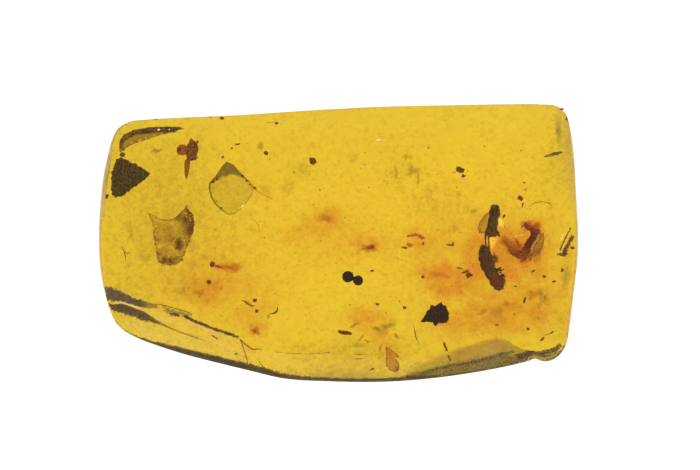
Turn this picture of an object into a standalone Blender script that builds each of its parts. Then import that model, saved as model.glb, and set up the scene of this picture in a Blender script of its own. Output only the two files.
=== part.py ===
"""Insect in amber: a polished piece of amber with an insect and other small things sealed in it.

The clear amber is parted in two halves, which meet on a level plane. Each thing sealed in it lies
in a pocket that opens on that plane. The piece lies on its flat underside, with its length along X,
its width along Y and its thickness along Z. Lengths are in millimetres until they are scaled by MM.
"""

import math

import bmesh
import bpy
from mathutils import Matrix, Vector

MM = 0.001

# Size of the whole piece.
LENGTH = 28.6
WIDTH = 16.6
THICKNESS = 7.0

# The two halves, and what lies in them.
PARTING_HEIGHT = 3.5   # the level plane that the halves meet on
GAP = 0.3              # between the halves, and round each sealed piece
MIDDLE = 3.5           # height of the layer that the sealed pieces lie in
POCKET_SIDES = 12

# The rim is rounded above and below. Each outline row gives a corner of the outline from above,
# then how wide and how deep the upper rounding is there, and the same for the lower one:
# (x, y, upper run, upper drop, lower run, lower rise).
RIM_STEPS = 4          # facets across each rounding
OUTLINE_STEPS = 2      # facets between two outline rows
SMOOTHING_REACH = 3    # neighbours that share the direction in which the rim slopes inwards
OUTLINE = (
    (-14.30, 0.12, 0.33, 0.35, 0.05, 0.2),
    (-14.22, 2.28, 0.33, 0.35, 0.05, 0.2),
    (-14.04, 3.90, 0.33, 0.35, 0.05, 0.2),
    (-13.80, 5.10, 0.33, 0.35, 0.05, 0.2),
    (-13.53, 6.12, 0.33, 0.35, 0.05, 0.2),
    (-13.17, 6.81, 0.33, 0.35, 0.05, 0.2),
    (-12.45, 7.23, 0.33, 0.35, 0.05, 0.2),
    (-11.43, 7.35, 0.30, 0.32, 0.05, 0.2),
    (-9.27, 7.47, 0.25, 0.26, 0.05, 0.2),
    (-6.39, 7.59, 0.25, 0.26, 0.05, 0.2),
    (-2.07, 7.87, 0.25, 0.26, 0.05, 0.2),
    (2.25, 8.10, 0.25, 0.26, 0.05, 0.2),
    (6.57, 8.20, 0.25, 0.26, 0.05, 0.2),
    (10.17, 8.26, 0.25, 0.26, 0.05, 0.2),
    (12.09, 8.25, 0.30, 0.32, 0.05, 0.2),
    (13.05, 8.13, 0.30, 0.32, 0.05, 0.2),
    (13.53, 7.71, 0.30, 0.32, 0.05, 0.2),
    (13.80, 6.84, 0.30, 0.32, 0.05, 0.2),
    (14.01, 5.40, 0.30, 0.32, 0.05, 0.2),
    (14.16, 3.00, 0.30, 0.32, 0.05, 0.2),
    (14.27, 0.66, 0.30, 0.32, 0.05, 0.2),
    (14.25, -0.84, 0.30, 0.32, 0.05, 0.2),
    (14.10, -2.28, 0.30, 0.32, 0.05, 0.2),
    (13.92, -3.72, 0.30, 0.32, 0.05, 0.2),
    (13.74, -5.16, 0.30, 0.32, 0.05, 0.2),
    (13.53, -6.12, 0.30, 0.32, 0.05, 0.2),
    (13.17, -6.66, 0.30, 0.32, 0.20, 0.6),
    (12.63, -6.99, 0.30, 0.32, 0.40, 1.2),
    (12.12, -7.02, 0.30, 0.32, 0.50, 1.6),
    (11.73, -6.87, 0.25, 0.26, 0.60, 1.8),
    (11.31, -7.01, 0.25, 0.26, 0.70, 2.0),
    (10.17, -7.29, 0.30, 0.32, 0.80, 2.2),
    (8.01, -7.71, 0.30, 0.32, 0.80, 2.2),
    (5.85, -8.01, 0.35, 0.37, 0.70, 2.0),
    (3.69, -8.20, 0.37, 0.39, 0.60, 2.0),
    (1.89, -8.26, 0.37, 0.39, 0.60, 2.0),
    (-0.51, -8.22, 0.37, 0.39, 0.60, 2.0),
    (-3.33, -8.04, 0.37, 0.39, 0.70, 2.0),
    (-5.43, -7.56, 0.35, 0.37, 0.80, 2.4),
    (-7.41, -7.08, 0.30, 0.32, 0.80, 2.6),
    (-9.27, -6.60, 0.30, 0.32, 0.80, 2.6),
    (-10.77, -6.12, 0.30, 0.32, 0.80, 2.6),
    (-12.03, -5.64, 0.30, 0.32, 0.50, 1.6),
    (-12.87, -5.16, 0.30, 0.32, 0.40, 1.2),
    (-13.38, -4.62, 0.33, 0.35, 0.20, 0.6),
    (-13.65, -3.96, 0.33, 0.35, 0.05, 0.2),
    (-13.95, -2.94, 0.33, 0.35, 0.05, 0.2),
    (-14.19, -1.74, 0.33, 0.35, 0.05, 0.2),
)

# Flat ground facets round the upper edge. Each row gives two points of the facet's upper edge, left
# to right as seen from outside, how deep that edge lies below the flat top, and the facet's slope
# in degrees: (x1, y1, x2, y2, depth, slope).
FACETS = (
    (-14.00, -2.50, -4.70, -6.34, 0.00, 24.0),    # narrow strip along the lower left ridge
    (-14.00, -3.28, -4.70, -7.12, 0.33, 36.0),    # wide pale facet outside it
    (-4.30, -6.50, 3.80, -6.85, 0.00, 17.0),      # shallow facet in the middle of the lower edge
    (13.30, 5.80, -2.00, 5.85, 0.00, 7.0),        # wide shallow facet along the upper edge
)

# The scoop ground out at the lower right, which stops short at a small lobe. Its floor slopes down
# outwards from one ridge, and a steep wall closes it towards the lobe.
SCOOP_RIDGE = ((3.85, -7.50), (9.45, -5.56))
SCOOP_WALL_TOP = ((9.75, -5.58), (11.85, -6.95))
SCOOP_SLOPE = 38.0
SCOOP_WALL_SLOPE = 30.0
SCOOP_REACH = 9.0      # how far the cutter runs out past the edge


def at(x, y, z=0.0):
    """A point given in millimetres, with z counted from the layer of the sealed pieces."""
    return Vector((x, y, MIDDLE + z)) * MM


def clear_scene():
    for item in list(bpy.data.objects):
        bpy.data.objects.remove(item, do_unlink=True)


def material(name, colour, roughness, transmission=0.0):
    made = bpy.data.materials.new(name)
    made.use_nodes = True
    shader = made.node_tree.nodes["Principled BSDF"]
    shader.inputs["Base Color"].default_value = (*colour, 1.0)
    shader.inputs["Roughness"].default_value = roughness
    shader.inputs["Metallic"].default_value = 0.0
    shader.inputs["Transmission Weight"].default_value = transmission
    made.diffuse_color = (*colour, 1.0)
    return made


def make_object(name, bm, finish=None):
    bmesh.ops.recalc_face_normals(bm, faces=bm.faces)
    mesh = bpy.data.meshes.new(name)
    bm.to_mesh(mesh)
    bm.free()
    made = bpy.data.objects.new(name, mesh)
    bpy.context.scene.collection.objects.link(made)
    if finish:
        mesh.materials.append(finish)
    mesh.shade_smooth()
    mesh.set_sharp_from_angle(angle=math.radians(35))
    return made


def hide_cutter(tool):
    tool.hide_render = True
    tool.display_type = "WIRE"


def boolean(target, tool, operation):
    hide_cutter(tool)
    modifier = target.modifiers.new(tool.name, "BOOLEAN")
    modifier.operation = operation
    modifier.solver = "EXACT"
    modifier.object = tool


# ---- The amber ----

def smooth_loop(rows, steps):
    """Rows of numbers on a closed smooth curve through the given rows."""
    count = len(rows)
    spans = [math.dist(rows[i][:2], rows[(i + 1) % count][:2]) for i in range(count)]
    slopes = []
    for i in range(count):
        before, here, after = rows[i - 1], rows[i], rows[(i + 1) % count]
        back, ahead = spans[i - 1], spans[i]
        slopes.append([
            ((h - b) / back * ahead + (a - h) / ahead * back) / (back + ahead)
            for b, h, a in zip(before, here, after)
        ])
    result = []
    for i in range(count):
        j = (i + 1) % count
        for step in range(steps):
            t = step / steps
            row = []
            for p, q, m, n in zip(rows[i], rows[j], slopes[i], slopes[j]):
                m, n = m * spans[i], n * spans[i]
                row.append(
                    (2 * t**3 - 3 * t**2 + 1) * p + (t**3 - 2 * t**2 + t) * m
                    + (3 * t**2 - 2 * t**3) * q + (t**3 - t**2) * n
                )
            result.append(row)
    return result


def inward_directions(points):
    """For each point of a clockwise loop, the way in, shared with its neighbours."""
    count = len(points)
    normals = []
    for i in range(count):
        along = points[(i + 1) % count] - points[i - 1]
        normals.append(Vector((along.y, -along.x)).normalized())
    reach = range(-SMOOTHING_REACH * OUTLINE_STEPS, SMOOTHING_REACH * OUTLINE_STEPS + 1)
    return [sum((normals[(i + k) % count] for k in reach), Vector((0, 0))).normalized()
            for i in range(count)]


def rim_profile(row):
    """(inset, height) pairs up the side of the piece, from the underside to the top."""
    upper_run, upper_drop, lower_run, lower_rise = row[2:6]
    quarter = [math.pi / 2 * step / RIM_STEPS for step in range(RIM_STEPS + 1)]
    lower = [(lower_run * (1 - math.sin(turn)), lower_rise * (1 - math.cos(turn)))
             for turn in quarter]
    upper = [(upper_run * (1 - math.cos(turn)), THICKNESS - upper_drop * (1 - math.sin(turn)))
             for turn in quarter]
    return lower + upper


def amber_block():
    """The whole piece before it is parted: a stack of outlines with level faces above and below."""
    rows = smooth_loop(OUTLINE, OUTLINE_STEPS)
    points = [Vector(row[:2]) for row in rows]
    inward = inward_directions(points)
    profiles = [rim_profile(row) for row in rows]
    low = Vector((min(p.x for p in points), min(p.y for p in points)))
    high = Vector((max(p.x for p in points), max(p.y for p in points)))
    centre, fit = (low + high) / 2, Vector((LENGTH / (high.x - low.x), WIDTH / (high.y - low.y)))
    bm = bmesh.new()
    rings = []
    for level in range(len(profiles[0])):
        ring = []
        for point, way, profile in zip(points, inward, profiles):
            inset, height = profile[level]
            flat = point + way * inset - centre
            ring.append(bm.verts.new(Vector((flat.x * fit.x, flat.y * fit.y, height)) * MM))
        rings.append(ring)
    for below, above in zip(rings, rings[1:]):
        for i in range(len(below)):
            j = (i + 1) % len(below)
            bm.faces.new((below[i], below[j], above[j], above[i]))
    bm.faces.new(rings[0])
    bm.faces.new(rings[-1])
    bmesh.ops.recalc_face_normals(bm, faces=bm.faces)
    for facet in FACETS:
        cut_flat(bm, *facet_plane(*facet))
    return bm


def facet_plane(x1, y1, x2, y2, depth, slope):
    """A point on a ground facet, and the way that it faces."""
    edge = Vector((x2 - x1, y2 - y1, 0)).normalized()
    outward = edge.cross(Vector((0, 0, 1)))
    tilt = math.radians(slope)
    facing = outward * math.sin(tilt) + Vector((0, 0, math.cos(tilt)))
    return Vector((x1, y1, THICKNESS - depth)) * MM, facing


def cut_flat(bm, point, facing):
    """Cut away what lies beyond a plane, and close the cut with one flat face."""
    geometry = bm.verts[:] + bm.edges[:] + bm.faces[:]
    bmesh.ops.bisect_plane(bm, geom=geometry, dist=1e-8, plane_co=point, plane_no=facing,
                           clear_outer=True)
    rim = [edge for edge in bm.edges if edge.is_boundary]
    bmesh.ops.contextual_create(bm, geom=rim)


def scoop_cutter():
    """A wedge with a sloping floor, closed by a steep wall at its right end."""
    ridge_start, ridge_end = (Vector(p) for p in SCOOP_RIDGE)
    wall_start, wall_end = (Vector(p) for p in SCOOP_WALL_TOP)
    floor_fall = math.tan(math.radians(SCOOP_SLOPE)) * SCOOP_REACH
    along = (ridge_end - ridge_start).normalized()
    outward = Vector((along.y, -along.x))
    wall_along = (wall_end - wall_start).normalized()
    wall_out = Vector((wall_along.y, -wall_along.x))
    wall_shift = wall_out * (floor_fall / math.tan(math.radians(SCOOP_WALL_SLOPE)))
    far_start = ridge_start - along * SCOOP_REACH + outward * SCOOP_REACH
    near_start = ridge_start - along * SCOOP_REACH
    far_end = wall_start + wall_along * SCOOP_REACH * 1.2
    top = [near_start, wall_start, far_end, far_start]
    floor = [near_start, ridge_end, far_end + wall_shift, far_start]
    depths = [0.0, 0.0, floor_fall, floor_fall]
    bm = bmesh.new()
    lid = [bm.verts.new(Vector((p.x, p.y, THICKNESS + 2)) * MM) for p in top]
    bed = [bm.verts.new(Vector((p.x, p.y, THICKNESS - d)) * MM) for p, d in zip(floor, depths)]
    bmesh.ops.convex_hull(bm, input=lid + bed)
    return make_object("scoop_cutter", bm)


def half(name, finish, below):
    """One half of the amber: what lies below, or above, the level parting plane."""
    bm = amber_block()
    side = -1 if below else 1
    cut = Vector((0, 0, PARTING_HEIGHT + side * GAP / 2)) * MM
    cut_flat(bm, cut, Vector((0, 0, -side)))
    return make_object(name, bm, finish)


def pocket_cutter(piece):
    """A prism round a sealed piece, wider than it by the gap on every side."""
    bpy.context.view_layer.update()
    shape = piece.evaluated_get(bpy.context.evaluated_depsgraph_get()).data
    points = [vertex.co.copy() for vertex in shape.vertices]
    gap = GAP * MM
    turns = [2 * math.pi * k / POCKET_SIDES for k in range(POCKET_SIDES)]
    ways = [Vector((math.cos(turn), math.sin(turn))) for turn in turns]
    reach = [max(p.x * way.x + p.y * way.y for p in points) + gap for way in ways]
    low = min(min(p.z for p in points) - gap, (PARTING_HEIGHT - GAP) * MM)
    high = max(max(p.z for p in points) + gap, (PARTING_HEIGHT + GAP) * MM)
    corners = []
    for k, way in enumerate(ways):
        other, far = ways[k - 1], reach[k - 1]
        turn = way.x * other.y - way.y * other.x
        corners.append(((reach[k] * other.y - far * way.y) / turn,
                        (far * way.x - reach[k] * other.x) / turn))
    bm = bmesh.new()
    floor = [bm.verts.new((x, y, low)) for x, y in corners]
    lid = [bm.verts.new((x, y, high)) for x, y in corners]
    bmesh.ops.convex_hull(bm, input=floor + lid)
    return make_object(f"{piece.name}_pocket", bm)


# ---- Shapes for the sealed pieces ----

def limb(name, spine, finish=None, sides=8, flatness=0.85):
    """A round closed shape along a spine of rows (x, y, z, width), pointed at both ends."""
    points = [at(*row[:3]) for row in spine]
    bm = bmesh.new()
    tips = bm.verts.new(points[0]), bm.verts.new(points[-1])
    rings = []
    for i in range(1, len(points) - 1):
        along = (points[i + 1] - points[i - 1]).normalized()
        across = along.cross(Vector((0, 0, 1))).normalized()
        up = across.cross(along)
        radius = spine[i][3] / 2 * MM
        rings.append([
            bm.verts.new(points[i] + across * radius * math.cos(turn)
                         + up * radius * flatness * math.sin(turn))
            for turn in (2 * math.pi * k / sides for k in range(sides))
        ])
    for near, far in zip(rings, rings[1:]):
        for k in range(sides):
            bm.faces.new((near[k], near[k - 1], far[k - 1], far[k]))
    for tip, ring in ((tips[0], rings[0]), (tips[1], rings[-1])):
        for k in range(sides):
            bm.faces.new((tip, ring[k], ring[k - 1]))
    return make_object(name, bm, finish)


def sheet(name, left, right, thickness, finish=None, steps=4, crinkle=0.0, waves=5.0):
    """A thin closed plate between two edges of (x, y, z) points, crinkled by a sine wave."""
    bm = bmesh.new()
    layers = []
    for side in (1, -1):
        rows = []
        for i, (start, end) in enumerate(zip(left, right)):
            row = []
            for step in range(steps + 1):
                part = step / steps
                point = at(*start).lerp(at(*end), part)
                thin = 0.25 + 0.75 * math.sin(math.pi * part) * math.sin(
                    math.pi * (i + 0.5) / len(left))
                wave = crinkle * math.sin(waves * (part + 0.37 * i)) * math.sin(math.pi * part)
                point.z += (wave + side * thickness / 2 * thin) * MM
                row.append(bm.verts.new(point))
            rows.append(row)
        layers.append(rows)
    upper, lower = layers
    last, end = len(left) - 1, steps
    for i in range(last):
        for step in range(end):
            for rows in layers:
                bm.faces.new((rows[i][step], rows[i][step + 1],
                              rows[i + 1][step + 1], rows[i + 1][step]))
        for step in (0, end):
            bm.faces.new((upper[i][step], upper[i + 1][step], lower[i + 1][step], lower[i][step]))
    for step in range(end):
        for i in (0, last):
            bm.faces.new((upper[i][step], upper[i][step + 1], lower[i][step + 1], lower[i][step]))
    return make_object(name, bm, finish)


def ball(name, x, y, z, diameter, finish=None, stretch=(1, 1, 1), turn=0.0):
    bm = bmesh.new()
    place = (Matrix.Translation(at(x, y, z)) @ Matrix.Rotation(math.radians(turn), 4, "Z")
             @ Matrix.Diagonal((*stretch, 1)))
    bmesh.ops.create_uvsphere(bm, u_segments=14, v_segments=9, radius=diameter / 2 * MM,
                              matrix=place)
    return make_object(name, bm, finish)


def fuse(main, others):
    for other in others:
        boolean(main, other, "UNION")
    return main


# ---- The sealed pieces ----

def insect():
    """The dark insect: a narrow fore body, a wider hind body, stub legs and a folded wing."""
    finish = material("insect_dark", (0.075, 0.052, 0.03), 0.5)
    fore = limb("insect", (
        (9.36, 2.34, 0.25, 0), (9.36, 2.12, 0.25, 0.42), (9.34, 1.70, 0.25, 0.68),
        (9.24, 1.24, 0.20, 0.64), (9.16, 0.80, 0.15, 0.70), (9.20, 0.52, 0.10, 0.78),
        (9.20, 0.36, 0.05, 0),
    ), finish)
    hind = limb("insect_hind_body", (
        (8.62, -0.06, 0.0, 0), (8.70, -0.32, 0.0, 0.56), (8.79, -0.72, 0.0, 0.86),
        (8.86, -1.14, 0.0, 0.88), (9.04, -1.60, 0.0, 0.84), (9.26, -1.98, 0.0, 0.82),
        (9.48, -2.32, -0.05, 0.84), (9.66, -2.64, -0.05, 0.60), (9.72, -2.82, -0.05, 0),
    ), sides=10)
    neck = limb("insect_neck", (
        (8.95, 0.95, 0.1, 0), (8.86, 0.62, 0.1, 0.22), (8.87, 0.10, 0.05, 0.22),
        (8.90, -0.40, 0.0, 0.26), (8.86, -0.80, 0.0, 0),
    ), sides=6)
    foot = limb("insect_foot", (
        (9.30, 0.90, 0.1, 0), (9.48, 0.62, 0.1, 0.26), (9.70, 0.29, 0.05, 0),
    ), sides=6)
    legs = [limb(f"insect_leg_{n}", ((*start, 0), (*middle, 0.14), (*end, 0)), sides=5)
            for n, (start, middle, end) in enumerate((
                ((8.90, -0.80, 0.15), (9.26, -0.86, 0.20), (9.48, -0.92, 0.10)),
                ((8.95, -1.15, 0.10), (9.28, -1.14, 0.10), (9.46, -1.14, 0.00)),
                ((9.10, -1.90, 0.10), (9.55, -1.66, 0.15), (9.86, -1.40, 0.05)),
                ((9.45, -2.30, 0.05), (9.84, -2.16, 0.10), (10.02, -1.88, 0.00)),
            ))]
    wing = sheet("insect_wing",
                 ((9.15, 1.95, 0.2), (8.60, 1.55, 0.2), (8.32, 1.00, 0.2), (8.35, 0.62, 0.2)),
                 ((9.35, 1.90, 0.2), (9.20, 1.50, 0.2), (9.10, 1.00, 0.2), (9.05, 0.60, 0.2)), 0.12)
    return fuse(fore, [hind, neck, foot, *legs, wing])


def curled_insect():
    """A reddish insect curled round on itself, with a thin limb and a crumpled wing."""
    finish = material("insect_red_brown", (0.22, 0.065, 0.025), 0.5)
    body = limb("curled_insect", (
        (10.16, -0.08, 0.0, 0), (10.30, -0.28, 0.0, 0.30), (10.56, -0.60, 0.0, 0.46),
        (10.95, -0.70, 0.0, 0.50), (11.25, -0.42, 0.0, 0.50), (11.46, 0.0, 0.05, 0.48),
        (11.68, 0.40, 0.10, 0.44), (11.62, 0.74, 0.15, 0.36), (11.32, 0.94, 0.15, 0.30),
        (11.22, 1.32, 0.10, 0),
    ), finish)
    wing = sheet("curled_insect_wing",
                 ((11.60, 0.45, 0.0), (11.40, 0.0, 0.0), (11.20, -0.45, 0.0), (11.20, -0.78, 0.0)),
                 ((12.10, 0.42, 0.1), (12.27, 0.0, 0.1), (12.10, -0.50, 0.1), (11.60, -0.80, 0.1)),
                 0.14, crinkle=0.05)
    shoulder = ball("curled_insect_shoulder", 11.86, 0.66, 0.1, 0.5, stretch=(1, 0.8, 0.7), turn=30)
    return fuse(body, [wing, shoulder])


def small_fly():
    finish = material("insect_brown", (0.13, 0.07, 0.03), 0.5)
    body = limb("small_fly", (
        (-8.82, 6.18, 0.0, 0), (-8.78, 5.96, 0.0, 0.42), (-8.76, 5.60, 0.0, 0.72),
        (-8.80, 5.26, 0.0, 0.62), (-8.86, 4.98, 0.0, 0.40), (-8.95, 4.84, 0.0, 0),
    ), finish)
    tail = limb("small_fly_tail", (
        (-8.88, 5.20, 0.0, 0), (-9.05, 4.85, 0.0, 0.34), (-9.10, 4.30, 0.0, 0.26),
        (-9.10, 3.72, 0.0, 0),
    ), sides=6)
    head = ball("small_fly_head", -9.36, 5.50, 0.0, 0.68, stretch=(1, 1, 0.85))
    leg = limb("small_fly_leg", ((-8.80, 5.30, 0, 0), (-8.52, 5.12, 0, 0.16), (-8.36, 5.06, 0, 0)),
               sides=5)
    return fuse(body, [tail, head, leg])


def leaf_fragment():
    """A torn and crinkled scrap of leaf."""
    finish = material("leaf_brown", (0.36, 0.17, 0.05), 0.6)
    left = ((-11.19, 1.68, 0.1), (-11.13, 1.14, 0.1), (-11.07, 0.50, 0.0), (-10.95, -0.20, 0.0),
            (-10.70, -0.95, -0.1), (-10.50, -1.35, -0.1))
    right = ((-9.05, 2.25, 0.2), (-8.63, 1.14, 0.2), (-8.79, 0.42, 0.1), (-9.10, -0.40, 0.1),
             (-9.40, -1.00, 0.0), (-9.80, -1.30, 0.0))
    return sheet("leaf_fragment", left, right, 0.24, finish, steps=8, crinkle=0.09, waves=9.0)


def pellet_pair():
    """Two round dark pellets that stick together."""
    finish = material("pellet_black", (0.03, 0.02, 0.012), 0.35)
    left = ball("pellet_pair", 0.564, -2.016, 0.0, 0.69, finish)
    right = ball("pellet_pair_right", 1.176, -2.244, 0.0, 0.61)
    neck = ball("pellet_pair_neck", 0.888, -2.124, 0.0, 0.22)
    return fuse(left, [right, neck])


def dark_chunk():
    """An angular dark crumb with a spike, a corner and a small lobe."""
    finish = material("chunk_dark", (0.055, 0.032, 0.02), 0.6)
    body = limb("dark_chunk", (
        (5.05, -4.70, 0.0, 0), (5.35, -4.50, 0.0, 0.66), (5.80, -4.28, 0.0, 1.06),
        (6.28, -4.26, 0.0, 1.02), (6.56, -4.22, 0.0, 0.70), (6.66, -4.20, 0.0, 0),
    ), finish, sides=7)
    corner = limb("dark_chunk_corner", (
        (5.90, -4.20, 0.0, 0), (6.05, -3.80, 0.0, 0.34), (6.24, -3.54, 0.0, 0),
    ), sides=5)
    lobe = ball("dark_chunk_lobe", 5.80, -4.78, 0.0, 0.30)
    return fuse(body, [corner, lobe])


def dark_flake():
    """A three-cornered flake of dark, grainy bark near the left end."""
    finish = material("flake_dark", (0.06, 0.045, 0.022), 0.7)
    left = ((-13.00, 5.10, 0.1), (-13.35, 4.20, 0.0), (-13.40, 3.40, 0.0), (-13.25, 2.78, -0.1))
    right = ((-12.80, 5.08, 0.1), (-11.26, 4.18, 0.2), (-11.60, 3.80, 0.1), (-13.05, 2.76, 0.0))
    return sheet("dark_flake", left, right, 0.6, finish, steps=5)


def orange_flake():
    finish = material("flake_orange", (0.5, 0.2, 0.03), 0.6)
    left = ((2.85, -6.12, 0.0), (2.82, -6.70, 0.0), (3.20, -7.30, 0.0))
    right = ((3.05, -6.22, 0.1), (3.70, -6.80, 0.1), (3.50, -7.40, 0.1))
    return sheet("orange_flake", left, right, 0.3, finish, steps=3)


def main():
    clear_scene()
    sealed = [insect(), curled_insect(), small_fly(), leaf_fragment(), pellet_pair(), dark_chunk(),
              dark_flake(), orange_flake()]
    amber = material("amber_clear", (0.83, 0.53, 0.05), 0.04, transmission=1.0)
    halves = [half("amber_lower", amber, below=True), half("amber_upper", amber, below=False)]
    cutters = [scoop_cutter()] + [pocket_cutter(piece) for piece in sealed]
    for piece in halves:
        for cutter in cutters:
            boolean(piece, cutter, "DIFFERENCE")


main()
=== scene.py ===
"""Insect in amber: the finish of a polished piece of amber with an insect and other things sealed in it.

Run as a script. It is laid out as an add-on: sizes and colours are properties of the scene, each
piece or group of like pieces is made by its own operator, and a sidebar panel lists them. Shapes are
made in millimetres and scaled to metres when a piece is finished.
"""

import math
import random

import bmesh
import bpy
from bpy.props import (FloatProperty, FloatVectorProperty, IntProperty, PointerProperty)
from mathutils import Matrix, Vector, noise
from mathutils.bvhtree import BVHTree


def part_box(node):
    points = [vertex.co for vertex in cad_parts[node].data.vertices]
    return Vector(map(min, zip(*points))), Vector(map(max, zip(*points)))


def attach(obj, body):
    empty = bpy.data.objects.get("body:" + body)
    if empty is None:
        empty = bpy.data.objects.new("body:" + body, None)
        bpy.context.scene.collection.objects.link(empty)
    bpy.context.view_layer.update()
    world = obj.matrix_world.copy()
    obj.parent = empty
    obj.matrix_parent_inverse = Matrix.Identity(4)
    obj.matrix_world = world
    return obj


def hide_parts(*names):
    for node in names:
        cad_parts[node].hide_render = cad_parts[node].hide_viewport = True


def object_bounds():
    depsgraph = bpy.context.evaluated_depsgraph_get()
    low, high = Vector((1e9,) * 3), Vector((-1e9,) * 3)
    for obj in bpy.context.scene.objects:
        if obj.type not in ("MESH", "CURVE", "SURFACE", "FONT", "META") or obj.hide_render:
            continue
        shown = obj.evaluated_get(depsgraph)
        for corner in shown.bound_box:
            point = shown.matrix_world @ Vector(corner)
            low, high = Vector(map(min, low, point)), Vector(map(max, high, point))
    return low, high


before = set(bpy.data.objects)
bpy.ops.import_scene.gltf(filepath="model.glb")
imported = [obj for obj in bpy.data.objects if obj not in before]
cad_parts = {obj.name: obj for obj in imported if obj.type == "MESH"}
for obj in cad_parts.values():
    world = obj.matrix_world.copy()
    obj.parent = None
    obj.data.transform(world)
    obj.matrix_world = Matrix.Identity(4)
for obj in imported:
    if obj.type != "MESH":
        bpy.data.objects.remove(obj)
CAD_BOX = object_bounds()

bl_info = {
    "name": "Insect in Amber",
    "version": (1, 0, 0),
    "blender": (4, 5, 0),
    "location": "3D View > Sidebar > Amber",
    "description": "Builds a clear piece of amber, what is sealed in it, and a plain studio",
    "category": "Add Mesh",
}

MM = 0.001
LENGTH, WIDTH, THICKNESS = ((high - low) / MM for low, high in zip(*CAD_BOX))
NODE_LOW, NODE_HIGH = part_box("pellet_pair")
MIDDLE = (NODE_LOW.z + NODE_HIGH.z) / 2 / MM   # height of the layer that the sealed pieces lie in

# ---------------------------------------------------------------------------------------------
# Shape of the amber, as in the CAD: groups of corners of its outline that share a rounding (upper
# run, upper drop, lower run, lower rise), and flat facets ground round the top (x1, y1, x2, y2,
# depth, slope in degrees).

ROUNDED_CORNERS = (
    ((0.33, 0.35, 0.05, 0.2), (
        (-14.3, 0.12), (-14.22, 2.28), (-14.04, 3.9), (-13.8, 5.1), (-13.53, 6.12), (-13.17, 6.81),
        (-12.45, 7.23))),
    ((0.3, 0.32, 0.05, 0.2), ((-11.43, 7.35),)),
    ((0.25, 0.26, 0.05, 0.2), (
        (-9.27, 7.47), (-6.39, 7.59), (-2.07, 7.87), (2.25, 8.1), (6.57, 8.2), (10.17, 8.26))),
    ((0.3, 0.32, 0.05, 0.2), (
        (12.09, 8.25), (13.05, 8.13), (13.53, 7.71), (13.8, 6.84), (14.01, 5.4), (14.16, 3),
        (14.27, 0.66), (14.25, -0.84), (14.1, -2.28), (13.92, -3.72), (13.74, -5.16), (13.53, -6.12))),
    ((0.3, 0.32, 0.2, 0.6), ((13.17, -6.66),)),
    ((0.3, 0.32, 0.4, 1.2), ((12.63, -6.99),)),
    ((0.3, 0.32, 0.5, 1.6), ((12.12, -7.02),)),
    ((0.25, 0.26, 0.6, 1.8), ((11.73, -6.87),)),
    ((0.25, 0.26, 0.7, 2), ((11.31, -7.01),)),
    ((0.3, 0.32, 0.8, 2.2), ((10.17, -7.29), (8.01, -7.71))),
    ((0.35, 0.37, 0.7, 2), ((5.85, -8.01),)),
    ((0.37, 0.39, 0.6, 2), ((3.69, -8.2), (1.89, -8.26), (-0.51, -8.22))),
    ((0.37, 0.39, 0.7, 2), ((-3.33, -8.04),)),
    ((0.35, 0.37, 0.8, 2.4), ((-5.43, -7.56),)),
    ((0.3, 0.32, 0.8, 2.6), ((-7.41, -7.08), (-9.27, -6.6), (-10.77, -6.12))),
    ((0.3, 0.32, 0.5, 1.6), ((-12.03, -5.64),)),
    ((0.3, 0.32, 0.4, 1.2), ((-12.87, -5.16),)),
    ((0.33, 0.35, 0.2, 0.6), ((-13.38, -4.62),)),
    ((0.33, 0.35, 0.05, 0.2), ((-13.65, -3.96), (-13.95, -2.94), (-14.19, -1.74))),
)
OUTLINE = tuple((*corner, *rounding) for rounding, corners in ROUNDED_CORNERS for corner in corners)
FACETS = (
    (-14, -2.5, -4.7, -6.34, 0, 24), (-14, -3.28, -4.7, -7.12, 0.33, 36),
    (-4.3, -6.5, 3.8, -6.85, 0, 17),
)
ROLL_START = 4.6      # where the top begins to roll down towards its far edge
ROLL_STEPS = 8
ROLL_STEP = 0.3
ROLL_SLOPE = 7.0
SCOOP_RIDGE = ((3.85, -7.50), (9.45, -5.56))
SCOOP_WALL_TOP = ((9.75, -5.58), (11.85, -6.95))
SCOOP_SLOPE = 38.0
SCOOP_WALL_SLOPE = 30.0
SCOOP_REACH = 9.0
RIM_STEPS = 10
OUTLINE_STEPS = 6
SMOOTHING_REACH = 3
BROAD = 0.3   # area from which a face that isn't steep is a flat with its own shading
STEEP = 0.4   # upright part of the facing of such a face
RIM_TILT = 50.0   # tilt in degrees from which the surface is duller
AIR_FILM = 0.03   # air between the flat underside and the floor
SHY = 0.999999    # keeps the amber within the CAD's box for all that rounding does
RIM_POINTS = 60   # points of a line along the near edge

# Thin layers: thickness of a film, and depths under the surface, so that films never share a place
FILM = 0.02
PAINTED_GLINT_DEPTH = 0.03
FACET_FILM_DEPTH = 0.05
FACET_REFLECTION_DEPTH = 0.08
STRIPE_DEPTH = 0.1
CREASE_DEPTH = 0.12
GRIT = 0.1        # size of the finest grain of a film

# ---------------------------------------------------------------------------------------------
# Settings

class AmberSettings(bpy.types.PropertyGroup):
    """The clear amber."""

    ior: FloatProperty(name="Index of refraction", description="How strongly the amber bends light",
                       default=1.54, min=1.3, max=1.8)
    tint: FloatVectorProperty(name="Tint", description="Colour left by the absorption",
                              subtype="COLOR", default=(0.966, 0.881, 0.0), min=0, max=1)
    density: FloatProperty(name="Density", description="Absorption per metre of the missing colour",
                           default=530.0, min=0)
    stain: FloatVectorProperty(name="Stain", description="Tint of the orange clouds",
                               subtype="COLOR", default=(0.87, 0.53, 0.35), min=0, max=1)
    smoke: FloatVectorProperty(name="Smoke", description="Tint of the olive-brown clouds",
                               subtype="COLOR", default=(0.74, 0.71, 0.66), min=0, max=1)
    rim: FloatVectorProperty(name="Rim", description="Tint of the duller rim",
                             subtype="COLOR", default=(0.7, 0.58, 0.14), min=0, max=1)
    waviness: FloatProperty(name="Waviness", description="Height of the swells left by polishing",
                            default=0.00002, min=0, unit="LENGTH")


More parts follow.
